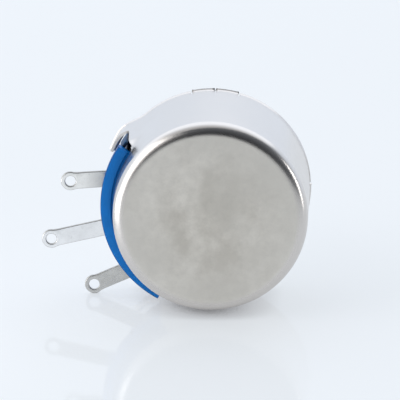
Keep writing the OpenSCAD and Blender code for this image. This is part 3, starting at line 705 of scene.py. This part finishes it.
def build_can():
    """The can as one sheet: a grid of columns and rows, less its window and slits, with the claws added."""
    half_slit = math.degrees(SLIT / 2 / can_r(RIM_H))
    marks = {WINDOW_FROM % 360, WINDOW_TO % 360}
    marks |= {(WINDOW_FROM + EAR_REACH) % 360, (WINDOW_TO - EAR_REACH) % 360}
    slits, claws = [], []
    for middle in CLAW_PAIRS:
        step = CLAW_ANGLE + 2 * half_slit
        for k in (-1, 0, 1):
            slits.append((middle + k * step - half_slit, middle + k * step + half_slit))
        claws.append((slits[-3][1], slits[-2][0]))
        claws.append((slits[-2][1], slits[-1][0]))
    for a, b in slits + claws:
        marks |= {a % 360, b % 360}
    # Columns stand closer together at the window's two ends
    edge = math.degrees(WINDOW_CORNER_W / CAN_R)
    for k in (0.1, 0.25, 0.5, 0.75, 1.0):
        marks |= {WINDOW_FROM + edge * k, WINDOW_TO - edge * k}
    for k in (0.15, 0.4, 0.8, 1.6, 2.4, 3.4):
        marks |= {WINDOW_FROM + k, WINDOW_TO - k}
    angles = sorted(marks)
    for i in range(round(360 / COLUMN_STEP)):
        a = i * COLUMN_STEP
        if min(abs(a - m) for m in marks) > COLUMN_ROOM and abs(a - 360) > COLUMN_ROOM:
            angles.append(a)
    angles = sorted(set(round(a, 6) for a in angles))
    columns = len(angles)

    def inside(a, spans):
        return any(s <= a <= e or s <= a - 360 <= e for s, e in spans)

    def column(a):
        """Outer surface from the rear face's middle to the rim, as (r, h, row name)."""
        points = [(r, DEPTH, "face") for r in FACE_RINGS]
        for i in range(CORNER_ROWS + 1):
            t = math.pi / 2 * i / CORNER_ROWS
            points.append((CAN_R - CORNER + CORNER * math.sin(t), DEPTH - CORNER + CORNER * math.cos(t), "turn"))
        top = window_top(a)
        for i in range(1, ABOVE_ROWS + 1):
            h = DEPTH - CORNER + (top - DEPTH + CORNER) * i / ABOVE_ROWS
            points.append((wall_r(a, h), h, "above"))
        edge_h = ear_edge(a)
        for i in range(1, WINDOW_ROWS + 1):
            h = top + (edge_h - top) * i / WINDOW_ROWS
            points.append((wall_r(a, h), h, "window"))
        rows = [EAR_EDGE_H + (SLIT_H - EAR_EDGE_H) * (i / LOW_ROWS) for i in range(1, LOW_ROWS + 1)]
        rows += [1.0, RIM_H + 0.22, RIM_H + 0.12, RIM_H]
        for i, h in enumerate(rows):
            share = (EAR_EDGE_H - h) / (EAR_EDGE_H - RIM_H)
            height = edge_h - share * (edge_h - RIM_H)
            lip = RIM_LIP if i >= len(rows) - 2 else 0.0
            points.append((wall_r(a, height) + lip, height, "low"))
        return points

    verts, faces = [], []
    grid = [column(a) for a in angles]
    rows = len(grid[0])
    for a, points in zip(angles, grid):
        verts += [polar(r, a, h) for r, h, _ in points]
    first_low = next(j for j in range(rows) if grid[0][j][2] == "low")
    first_window = next(j for j in range(rows) if grid[0][j][2] == "window")
    slit_row = first_low + LOW_ROWS - 1
    for i, a in enumerate(angles):
        k = (i + 1) % columns
        b = angles[k] if k else angles[0] + 360
        mid = (a + b) / 2
        in_window = WINDOW_FROM < mid < WINDOW_TO
        in_ear = in_window and ear_side(mid) < EAR_ROOT + EAR_REACH
        for j in range(rows - 1):
            if in_window and first_window - 1 <= j < first_low - 1:
                continue
            if in_window and not in_ear and j >= first_low - 1:
                continue
            if j >= slit_row and inside(mid, slits):
                continue
            faces.append((i * rows + j, k * rows + j, k * rows + j + 1, i * rows + j + 1))
    centre = len(verts)
    verts.append(polar(0, 0, DEPTH))
    for i in range(columns):
        faces.append((centre, ((i + 1) % columns) * rows, i * rows))

    # A claw's section goes round its fold and then in over the front plate
    rim_r = can_r(RIM_H)
    path = []
    for i in range(1, FOLD_STEPS + 1):
        t = math.pi / 2 * i / FOLD_STEPS
        path.append((rim_r + CLAW_BULGE - FOLD_R + FOLD_R * math.cos(t), FOLD_H - FOLD_R * math.sin(t)))
    end_r = rim_r - SHEET - CLAW_REACH
    start_r = path[-1][0]
    for i in range(1, CLAW_STEPS + 1):
        path.append((start_r + (end_r - start_r) * i / CLAW_STEPS, CLAW_H))
    bulge_rows = {rows - 1: 1.0, rows - 2: 1.0, rows - 3: 0.15}

    def burr(off, s, e):
        """A claw's corners beside its slits stand out a little further."""
        return BURR * smooth(1 - min(off - s, e - off) / BURR_ANGLE)

    for s, e in claws:
        ids = [i for i, a in enumerate(angles) if s - 1e-4 <= a <= e + 1e-4 or s - 1e-4 <= a - 360 <= e + 1e-4]
        # Each column's angle, counted on from the claw's own start
        offs = {i: angles[i] - (360 if angles[i] > e + 1 else 0) for i in ids}
        ids.sort(key=offs.get)
        for i in ids:
            for j, k in bulge_rows.items():
                r, h, _ = grid[i][j]
                lip = RIM_LIP if j >= rows - 2 else 0.0
                verts[i * rows + j] = polar(r - lip + (CLAW_BULGE + burr(offs[i], s, e)) * k, angles[i], h)
        start = len(verts)
        n = len(path)
        centre_a = (s + e) / 2
        for i in ids:
            for q, (r, h) in enumerate(path):
                r += burr(offs[i], s, e) * max(0.0, 1 - q / (FOLD_STEPS - 1))
                # The claw narrows a little towards its rounded tip
                t = max(0.0, (q - FOLD_STEPS + 1) / CLAW_STEPS)
                squeeze = 1 - CLAW_TAPER * t * t
                verts.append(polar(r, centre_a + (offs[i] - centre_a) * squeeze, h))
        for c in range(len(ids) - 1):
            i, k = ids[c], ids[c + 1]
            faces.append((i * rows + rows - 1, k * rows + rows - 1, start + (c + 1) * n, start + c * n))
            for q in range(n - 1):
                here, there = start + c * n + q, start + (c + 1) * n + q
                faces.append((here, there, there + 1, here + 1))

    can = make("can_shell", verts, faces, replaces=("rear_cover",), slot="can_metal", material=M["can"])
    # The rear face has to point outwards, because the sheet is thickened inwards
    bm = bmesh.new()
    bm.from_mesh(can.data)
    loose = [v for v in bm.verts if not v.link_faces]
    bmesh.ops.delete(bm, geom=loose, context="VERTS")
    bmesh.ops.recalc_face_normals(bm, faces=bm.faces)
    middle_face = min(bm.faces, key=lambda f: f.calc_center_median().y)
    if middle_face.normal.y > 0:
        bmesh.ops.reverse_faces(bm, faces=bm.faces)
    bm.to_mesh(can.data)
    bm.free()
    m = can.modifiers.new("sheet", "SOLIDIFY")
    m.thickness = SHEET * MM
    m.offset = -1.0
    m.use_even_offset = True
    m.thickness_clamp = 0.0
    add_bevel(can, 0.05, 2, 55)
    apply_modifiers(can)
    absorb(can, *join([ear_lip_strip(1), ear_lip_strip(-1)]))
    # The wall's inside is painted a dark bluish metal, a painted shade and a painted reflection of the blue base, as
    # far back as the window reaches
    can.data.materials.append(M["can_inside_painted_shade"])
    for face in can.data.polygons:
        c, normal = face.center, face.normal
        if -c.y < (GUARD_H + 0.6) * MM and c.x * normal.x + c.z * normal.z < -0.5 * math.hypot(c.x, c.z):
            face.material_index = 1
    shade(can, 50)


def ear_lip_strip(side):
    """The lip along one ear's front edge, with a hollow fillet behind it."""
    low, fillet, steps = RIM_H - 0.02, 0.32, 44
    back = low + SHEET * 0.6
    rings = []
    for i in range(steps + 1):
        t = 1.5 + (EAR_ROOT + EAR_REACH - 1.7) * i / steps
        a = WINDOW_FROM - EAR_ROOT + t if side > 0 else WINDOW_TO + EAR_ROOT - t
        out = wall_r(a, RIM_H)
        face = out - SHEET
        lip = ear_lip(a) + 0.02
        ring = [(out - 0.05, low), (face - lip, low), (face - lip, back)]
        for k in range(7):
            u = math.pi / 2 * k / 6
            ring.append((face - lip + lip * math.sin(u), back + 0.06 + fillet * (1 - math.cos(u))))
        ring += [(face + 0.12, back + 0.06 + fillet), (out - 0.05, back)]
        rings.append([polar(r, a, h) for r, h in ring])
    return skin(rings)


# ---- Front plate, bushing and shaft ----


def build_plate():
    """The pressed front plate, with its pad, the tab bent out of it and the notch that leaves."""
    bend = arc(0, 0, 1, 0, 90, 5)
    profile = [(SPIGOT_R + 0.02, 0.0), (PAD_R - 0.55, 0.0)]
    # Round shoulder of the pad, out to the plate's rim
    profile += [(PAD_R - 0.55 + 0.3 * x, 0.3 - 0.3 * y) for y, x in bend[1:]]
    profile += [(PAD_R - 0.05 + 0.12 - 0.12 * y, RIM_H - 0.12 + 0.12 * x) for y, x in bend]
    profile += [(PLATE_R - 0.15, RIM_H), (PLATE_R - 0.04, RIM_H + 0.04), (PLATE_R, RIM_H + 0.15)]
    profile += [(PLATE_R, PLATE_TOP - 0.1), (PLATE_R - 0.1, PLATE_TOP), (PAD_R - 0.4, PLATE_TOP)]
    profile += [(PAD_R - 0.8, PLATE_T), (SPIGOT_R + 0.02, PLATE_T)]
    disc = make(
        "front_plate_pressing", *lathe(profile, 160), replaces=("front_plate",), slot="plate_metal", material=M["plate"]
    )
    notch = tool(*bar(PLATE_R - TAB_R, TAB_W + 0.6, -1.0, PLATE_TOP + 1.0, ARM_ANGLE, TAB_R + 0.5))
    combine(disc, notch, "DIFFERENCE")
    combine(disc, tool(*tab_shell()), "UNION")
    bevel(disc, 0.06)
    shade(disc, 40)


def tab_shell():
    """The tab bent out of the plate, with rounded corners at its free end."""
    c, d = math.cos(math.radians(ARM_ANGLE)), math.sin(math.radians(ARM_ANGLE))
    half, round_r = TAB_W / 2, 0.7
    side = [(half, PLATE_TOP - 0.16)]
    side += [(half - round_r + x, -TAB_LEN + round_r - y) for x, y in arc(0, 0, round_r, 0, 90, 7)]
    loop = side + [(-x, h) for x, h in side[::-1]]
    verts = []
    for r in (TAB_R - 0.5, TAB_R + 0.5):
        verts += [flat(r * c - x * d, r * d + x * c, h) for x, h in loop]
    n = len(loop)
    faces = [tuple(range(n)), tuple(range(n, 2 * n))[::-1]]
    faces += [(i, (i + 1) % n, (i + 1) % n + n, i + n) for i in range(n)]
    return verts, faces


def build_bushing():
    """The bushing with a helical thread, staked over behind the plate."""
    around, per_turn = 120, 16
    start_h, end_h = -0.7, -BUSHING_LEN
    relief_r = BUSHING_R - 0.42
    steps = int(round((start_h - end_h) / THREAD_PITCH * per_turn))

    def thread_r(h, a):
        turn = (h / THREAD_PITCH + a / 360.0) % 1.0
        # Flat crest and root, flanks at about 60 degrees
        flank = min(1.0, max(0.0, (abs(turn - 0.5) * 2 - 0.14) / 0.70))
        r = BUSHING_R - THREAD_DEPTH * flank
        tip = BUSHING_R - 0.55 + (h - end_h)
        back = relief_r + max(0.0, start_h - h) * 1.2
        return min(r, tip, back)

    rows = [(SPIGOT_R, 0.05), (relief_r, 0.05), (relief_r, start_h + 0.02)]
    # A radius of None is the thread's own at that place
    rows += [(None, start_h + (end_h - start_h) * i / steps) for i in range(steps + 1)]
    rows += [(BORE_R + 0.55, end_h), (BORE_R + 0.3, end_h), (BORE_R, end_h + 0.3)]
    rows += [(BORE_R, STAKE_H), (STAKE_R - 0.95, STAKE_H), (STAKE_R - 0.8, STAKE_H)]
    rows += [(STAKE_R - 0.45, STAKE_H - 0.16), (STAKE_R - 0.12, STAKE_H - 0.36)]
    rows += [(STAKE_R, PLATE_T + 0.25), (STAKE_R, PLATE_T), (SPIGOT_R, PLATE_T)]
    rings = []
    for i in range(around):
        a = 360.0 * i / around
        rings.append([polar(thread_r(h, a) if r is None else r, a, h) for r, h in rows])
    piece = make(
        "bushing_threaded", *skin(rings, full=True), replaces=("bushing",), slot="bushing_metal", material=M["bushing"]
    )
    shade(piece, 32)


def build_shaft():
    """The shaft, with the slot in its end and its ring groove, peened over the rotor's disc."""
    edge = arc(0, 0, 1, 0, 90, 4)
    profile = [(0.0, -SHAFT_REACH), (SHAFT_R - 0.5, -SHAFT_REACH)]
    profile += [(SHAFT_R - 0.47, -SHAFT_REACH + 0.02), (SHAFT_R - 0.04, -SHAFT_REACH + 0.44)]
    profile += [(SHAFT_R, -SHAFT_REACH + 0.52)]
    low = -BUSHING_LEN - RING_T - 0.1
    profile += [(SHAFT_R, low - 0.06), (SHAFT_R - 0.06, low), (GROOVE_R + 0.06, low), (GROOVE_R, low + 0.06)]
    profile += [(GROOVE_R, -BUSHING_LEN - 0.06), (GROOVE_R + 0.06, -BUSHING_LEN), (SHAFT_R - 0.06, -BUSHING_LEN)]
    profile += [(SHAFT_R, -BUSHING_LEN + 0.06)]
    top = heights("shaft")[1]
    seat, disc_low = 2.4, heights("rotor_disc")[0]
    profile += [(SHAFT_R, disc_low), (seat, disc_low), (seat, top - 0.62), (seat + 0.55, top - 0.6)]
    profile += [(seat + 0.62 * y, top - 0.6 + 0.6 * x) for y, x in edge[:-1]]
    profile += [(0.0, top)]
    piece = make(
        "shaft_slotted", *lathe(profile, 128, closed_profile=False), body="rotor",
        replaces=("shaft",), slot="shaft_metal", material=M["shaft"]
    )
    slot = tool(*bar(4 * SHAFT_R, SLOT_W, -SHAFT_REACH - 1, -SHAFT_REACH + SLOT_DEPTH, ARM_ANGLE, -2 * SHAFT_R))
    combine(piece, slot, "DIFFERENCE")
    bevel(piece, 0.05, 2, 50)
    shade(piece, 35)


def build_ring():
    """The open spring ring in the shaft's groove."""
    low = -BUSHING_LEN - RING_T - 0.05
    turn = ARM_ANGLE + 180
    mouth, inner = 42.0, GROOVE_R + 0.06
    outline = arc(0, 0, RING_R - 0.03, turn + mouth * 0.62, turn + 360 - mouth * 0.62, 72)
    tip = arc(0, 0, RING_R - 0.85, turn - mouth * 0.40, turn - mouth * 0.52, 2)
    inside = arc(0, 0, inner, turn - mouth, turn + mouth - 360, 64)
    tip_two = arc(0, 0, RING_R - 0.85, turn + mouth * 0.52, turn + mouth * 0.40, 2)
    loop = outline + tip + inside + tip_two
    piece = plate(
        "retaining_ring_spring", loop, [], low, low + RING_T, body="rotor",
        replaces=("retaining_ring",), slot="ring_metal", material=M["ring"]
    )
    bevel(piece, 0.06, 2, 50)
    shade(piece, 40)


# ---- Terminals and their base ----


def lug_frame(rivet_a, out_a):
    """Turns a terminal's own (x, y), from its rivet outwards, into its place in the part."""
    ox, oz = RIVET_R * math.cos(math.radians(rivet_a)), RIVET_R * math.sin(math.radians(rivet_a))
    c, d = math.cos(math.radians(out_a)), math.sin(math.radians(out_a))
    return lambda x, y: (ox + x * c - y * d, oz + x * d + y * c)


def lug_loop(length, grow=0.0):
    """Outline of a terminal along +X from its rivet, with a slightly bulbous end."""
    half, end_r = LUG_W / 2 + grow, LUG_END / 2 + grow
    blend = math.degrees(math.asin(half / end_r))
    shoulder = length - end_r * math.cos(math.radians(blend)) - 0.35
    loop = arc(0, 0, half, 90, 270, 20)
    loop += [(length - 2.4, -half), (shoulder, -half + 0.004)]
    loop += arc(length, 0, end_r, blend - 180 + 4, 180 - blend - 4, 48)
    loop += [(shoulder, half - 0.004), (length - 2.4, half)]
    return loop


def build_lugs():
    for name, (rivet_a, out_a, length) in LUGS.items():
        place = lug_frame(rivet_a, out_a)
        hole = [place(x, y) for x, y in arc(length, 0, LUG_HOLE / 2, 0, 352.5, 47)]
        rivet = [place(x, y) for x, y in arc(0, 0, 0.46, 0, 345, 23)]
        piece = plate(
            name + "_lug", [place(x, y) for x, y in lug_loop(length)], [hole, rivet], LUG_H, LUG_H + LUG_T,
            edge=0.10, replaces=(name,), slot="terminal_metal", material=M[name]
        )
        shade(piece, 50)
        level(piece)
        # The cut edges are darker and duller than the tinned faces
        piece.data.materials.append(M["terminal_edge"])
        for p in piece.data.polygons:
            p.material_index = 0 if abs(p.normal.y) > 0.90 else 1


def build_base():
    """The moulding: cup, stop, the guard in the can's window, and the foot beside the upper ear."""
    wall_top = heights("terminal_base")[1]
    floor_h = PLATE_TOP + 1.6
    lug_top = LUG_H + LUG_T
    seat_in, seat_out, cup_in, mid, fill_r = 6.05, 7.25, 9.10, 9.7, 11.2
    cup = [
        (seat_in, PLATE_TOP), (BASE_R, PLATE_TOP), (BASE_R, wall_top - 0.48), (BASE_R - 0.48, wall_top),
        (cup_in, wall_top), (cup_in, floor_h), (seat_out, floor_h), (seat_out, lug_top), (seat_in, lug_top),
    ]
    under = GUARD_H - GUARD_T
    block = [(seat_out - 0.01, floor_h), (cup_in + 0.01, floor_h), (cup_in + 0.01, lug_top), (seat_out - 0.01, lug_top)]
    block_half = RIVET_PITCH + 8
    foot = [
        (mid, PLATE_TOP), (FOOT_IN_R, PLATE_TOP), (FOOT_IN_R, FOOT_STEP_H), (FOOT_R, FOOT_STEP_H),
        (FOOT_R, FOOT_STEP_H + 0.6), (mid, FOOT_STEP_H + 0.6),
    ]
    foot_wall = [
        (FOOT_WALL_R, FOOT_STEP_H), (FOOT_R, FOOT_STEP_H), (FOOT_R, under + 0.1), (FOOT_WALL_R, under + 0.1),
    ]
    fill = [(mid, PLATE_TOP), (fill_r, PLATE_TOP), (fill_r, under + 0.05), (mid, under + 0.05)]
    guard = [
        (mid, under), (GUARD_R, under), (GUARD_R, GUARD_H), (GUARD_STEP_R, GUARD_H),
        (GUARD_STEP_R, GUARD_H - GUARD_STEP), (mid, GUARD_H - GUARD_STEP),
    ]
    low, high = heights("rotor_disc")[0] + 0.1, lug_top - STOP_DROP
    stop = [(STOP_R, low), (seat_in + 0.01, low), (seat_in + 0.01, high), (STOP_R, high)]
    # The window's fill takes the recess blue, a darker copy with darkened crevices, a painted shade
    window = make("window_fill", *lathe(fill, 96, GUARD_FROM, GUARD_TO), material=M["base_recess_painted_shade"])
    for rivet_a, out_a, length in LUGS.values():
        place = lug_frame(rivet_a, out_a)
        loop = [place(x, y) for x, y in lug_loop(length, 0.06)]
        slot = plate("slot", loop, [], LUG_H - 0.05, lug_top + 0.05)
        combine(window, slot, "DIFFERENCE")
    bevel(window, 0.06, 2, 50)
    shell = make(
        "base_moulding", *lathe(guard, 110, GUARD_FROM, GUARD_TO), replaces=("terminal_base",),
        slot="base_plastic", material=M["base"]
    )
    bevel(shell, 0.10, 3)
    # Cup, block and stop are merged under the same recess blue, a painted shade
    shell.data.materials.append(M["base_recess_painted_shade"])
    for shape, width in (
        (lathe(cup, 160), 0.12),
        (lathe(block, 60, RIVET_ANGLE - block_half, RIVET_ANGLE + block_half), 0.08),
        (lathe(stop, 40, RIVET_ANGLE - STOP_HALF, RIVET_ANGLE + STOP_HALF), 0.08),
    ):
        part = make("part", *shape)
        bevel(part, width)
        merge(shell, part)
    merge(shell, window)
    # The foot gets a dark navy copy of the blue with darkened crevices, a painted shade
    shell.data.materials.append(M["base_foot_painted_shade"])
    for profile, steps, margin in ((foot, 8, 2), (foot_wall, 10, 3)):
        part = make("part", *lathe(profile, steps, FOOT_FROM, GUARD_FROM + margin))
        bevel(part, 0.10)
        merge(shell, part, 2)
    # The guard's outer edge faces get a darker copy of the blue, a painted shade
    shell.data.materials.append(M["base_edge_painted_shade"])
    for p in shell.data.polygons:
        r = math.hypot(p.center.x, p.center.z)
        if p.material_index == 0 and r > (GUARD_R - 0.12) * MM and abs(p.normal.y) < 0.98:
            p.material_index = 3
    shade(shell, 40)


def merge(obj, other, slot=1):
    """Adds another object's mesh to the first, under one of its other materials."""
    bm = bmesh.new()
    bm.from_mesh(other.data)
    for f in bm.faces:
        f.material_index = slot
    bm.from_mesh(obj.data)
    bm.to_mesh(obj.data)
    bm.free()
    bpy.data.objects.remove(other)


# ---- Winding ----


def build_winding():
    """The resistance wire, wound turn by turn around the card."""
    low, high = heights("winding_former")
    r_in, r_out = RIVET_R - 0.35 - WIRE_R - 0.03, RIVET_R + 0.35 + WIRE_R + 0.03
    h_low, h_high = low - WIRE_R - 0.03, high + WIRE_R + 0.03
    h_mid = (h_low + h_high) / 2
    turns = int(math.radians(WIRE_SWEEP) * RIVET_R / WIRE_PITCH)
    # One turn round the card, with its corners cut off
    c = 0.14
    loop = [
        (r_out, h_low + c), (r_out, h_mid), (r_out, h_high - c), (r_out - c, h_high), (r_in + c, h_high),
        (r_in, h_high - c), (r_in, h_mid), (r_in, h_low + c), (r_in + c, h_low), (r_out - c, h_low),
    ]
    path = []
    for i in range(turns):
        for k, (r, h) in enumerate(loop):
            share = (i + k / len(loop)) / turns
            path.append(polar(r, ARM_ANGLE - WIRE_SWEEP / 2 + WIRE_SWEEP * share, h))
    sides = 6
    verts, faces = [], []
    for i, p in enumerate(path):
        before, after = path[max(0, i - 1)], path[min(len(path) - 1, i + 1)]
        along = (after - before).normalized()
        side = Vector((p.x, 0, p.z)).normalized().cross(Vector((0, 1, 0)))
        out = side.cross(along).normalized()
        side = along.cross(out).normalized()
        for j in range(sides):
            t = 2 * math.pi * j / sides
            verts.append(p + (out * math.cos(t) + side * math.sin(t)) * WIRE_R * MM)
    for i in range(len(path) - 1):
        for j in range(sides):
            k = (j + 1) % sides
            faces.append((i * sides + j, i * sides + k, (i + 1) * sides + k, (i + 1) * sides + j))
    faces.append(tuple(range(sides)))
    faces.append(tuple(range(len(verts) - sides, len(verts)))[::-1])
    piece = make(
        "winding_turns", verts, faces, replaces=("resistance_winding",), slot="resistance_wire", material=M["wire"]
    )
    shade(piece, 75)


# ---- Small pieces that keep their solids ----


def soften_nodes():
    """Rounds the edges of the solids that are shown as they are, by modifiers alone."""
    for name, width in (
        ("insulating_disc", 0.06), ("winding_former", 0.06), ("end_clip_upper", 0.05), ("end_clip_lower", 0.05),
        ("terminal_rivets", 0.05), ("collector_ring", 0.04), ("thrust_washer", 0.04), ("rotor_disc", 0.12),
        ("wiper_arm", 0.04), ("wiper_contact", 0.06), ("collector_spring", 0.04), ("wiper_rivets", 0.05),
    ):
        node = nodes[name]
        weld = node.modifiers.new("weld", "WELD")
        weld.merge_threshold = 0.002 * MM
        add_bevel(node, width, 2, 35)


# ---- Stage, light and camera ----


def build_floor():
    bpy.ops.mesh.primitive_plane_add(size=4.0, location=(0, 0, FLOOR_Z * MM))
    floor = bpy.context.object
    floor.name = "floor"
    n = Surface("floor")
    n.set(Metallic=0.0, Roughness=0.05, IOR=1.38)
    plain = n.mix(n.ramp(n.noise(60.0, 2.0, 0.5), 0.2, 0.8), FLOOR_LOW, FLOOR_HIGH)
    # The floor is painted darker where the object stands close, a painted shadow, darkest at the contact
    openness = n.openness(FLOOR_SHADE_REACH, 16)
    open_air = n.ramp(openness, 0.08, 0.55)
    shadow = n.mix(n.ramp(openness, 0.06, 0.14), FLOOR_CONTACT, FLOOR_SHADE)
    n.colour(n.mix(open_air, shadow, plain))
    # What the camera and mirrors see of the floor is partly its plain pale colour, with the same painted shadow
    seen = n.glow("ShaderNodeEmission", n.mix(open_air, shadow, FLOOR_SEEN))
    path = n.add("ShaderNodeLightPath")
    camera_share = n.math("MULTIPLY", path.outputs["Is Camera Ray"], FLOOR_GLOW)
    mirror_share = n.math("MULTIPLY", path.outputs["Is Glossy Ray"], MIRROR_GLOW)
    share = n.math("MAXIMUM", camera_share, mirror_share)
    n.link(n.mix_shader(share, n.shader.outputs[0], seen), n.out.inputs[0])
    floor.data.materials.append(n.material)
    return floor


def build_world():
    """A room that is dark on the camera's side, above the floor's horizon, and pale to the camera itself."""
    world = bpy.data.worlds.new("studio")
    bpy.context.scene.world = world
    n = Nodes(world)
    out = n.add("ShaderNodeOutputWorld")
    split = n.add("ShaderNodeSeparateXYZ")
    n.link(n.add("ShaderNodeTexCoord").outputs["Generated"], split.inputs[0])
    along = split.outputs["Y"]
    strength = n.math("ADD", *(n.ramp(along, *limits, kind=kind) for kind, *limits in WORLD_RAMPS))
    room = n.glow("ShaderNodeBackground", WORLD_LIGHT, strength)
    seen = n.glow("ShaderNodeBackground", WORLD_SEEN)
    camera_ray = n.add("ShaderNodeLightPath").outputs["Is Camera Ray"]
    n.link(n.mix_shader(camera_ray, room, seen), out.inputs[0])


def build_lamps(floor):
    for name, size, power, place, aim in LAMPS:
        data = bpy.data.lights.new(name, "AREA")
        data.shape = "RECTANGLE"
        data.size, data.size_y = size
        data.energy = power
        lamp = bpy.data.objects.new(name, data)
        bpy.context.scene.collection.objects.link(lamp)
        lamp.location = place
        lamp.rotation_euler = (Vector(aim) - Vector(place)).to_track_quat("-Z", "Y").to_euler()
    # The strip stands close, so its beam is narrow, and it is for the object alone
    strip = bpy.data.objects["strip_right"]
    strip.data.spread = math.radians(STRIP_SPREAD)
    unlit = bpy.data.collections.new("not_lit_by_strip")
    unlit.objects.link(floor)
    unlit.collection_objects[0].light_linking.link_state = "EXCLUDE"
    strip.light_linking.receiver_collection = unlit


def build_camera():
    data = bpy.data.cameras.new("camera")
    data.lens = CAMERA_LENS
    data.sensor_width = CAMERA_SENSOR
    data.clip_start = 0.01
    data.clip_end = 10.0
    camera = bpy.data.objects.new("camera", data)
    bpy.context.scene.collection.objects.link(camera)
    camera.location = CAMERA_AT
    camera.rotation_euler = Vector(CAMERA_ALONG).to_track_quat("-Z", "Y").to_euler()
    bpy.context.scene.camera = camera


build_can()
build_plate()
build_bushing()
build_shaft()
build_ring()
build_lugs()
build_base()
build_winding()
soften_nodes()

build_world()
build_lamps(build_floor())
build_camera()
bpy.context.scene.view_settings.view_transform = "Standard"
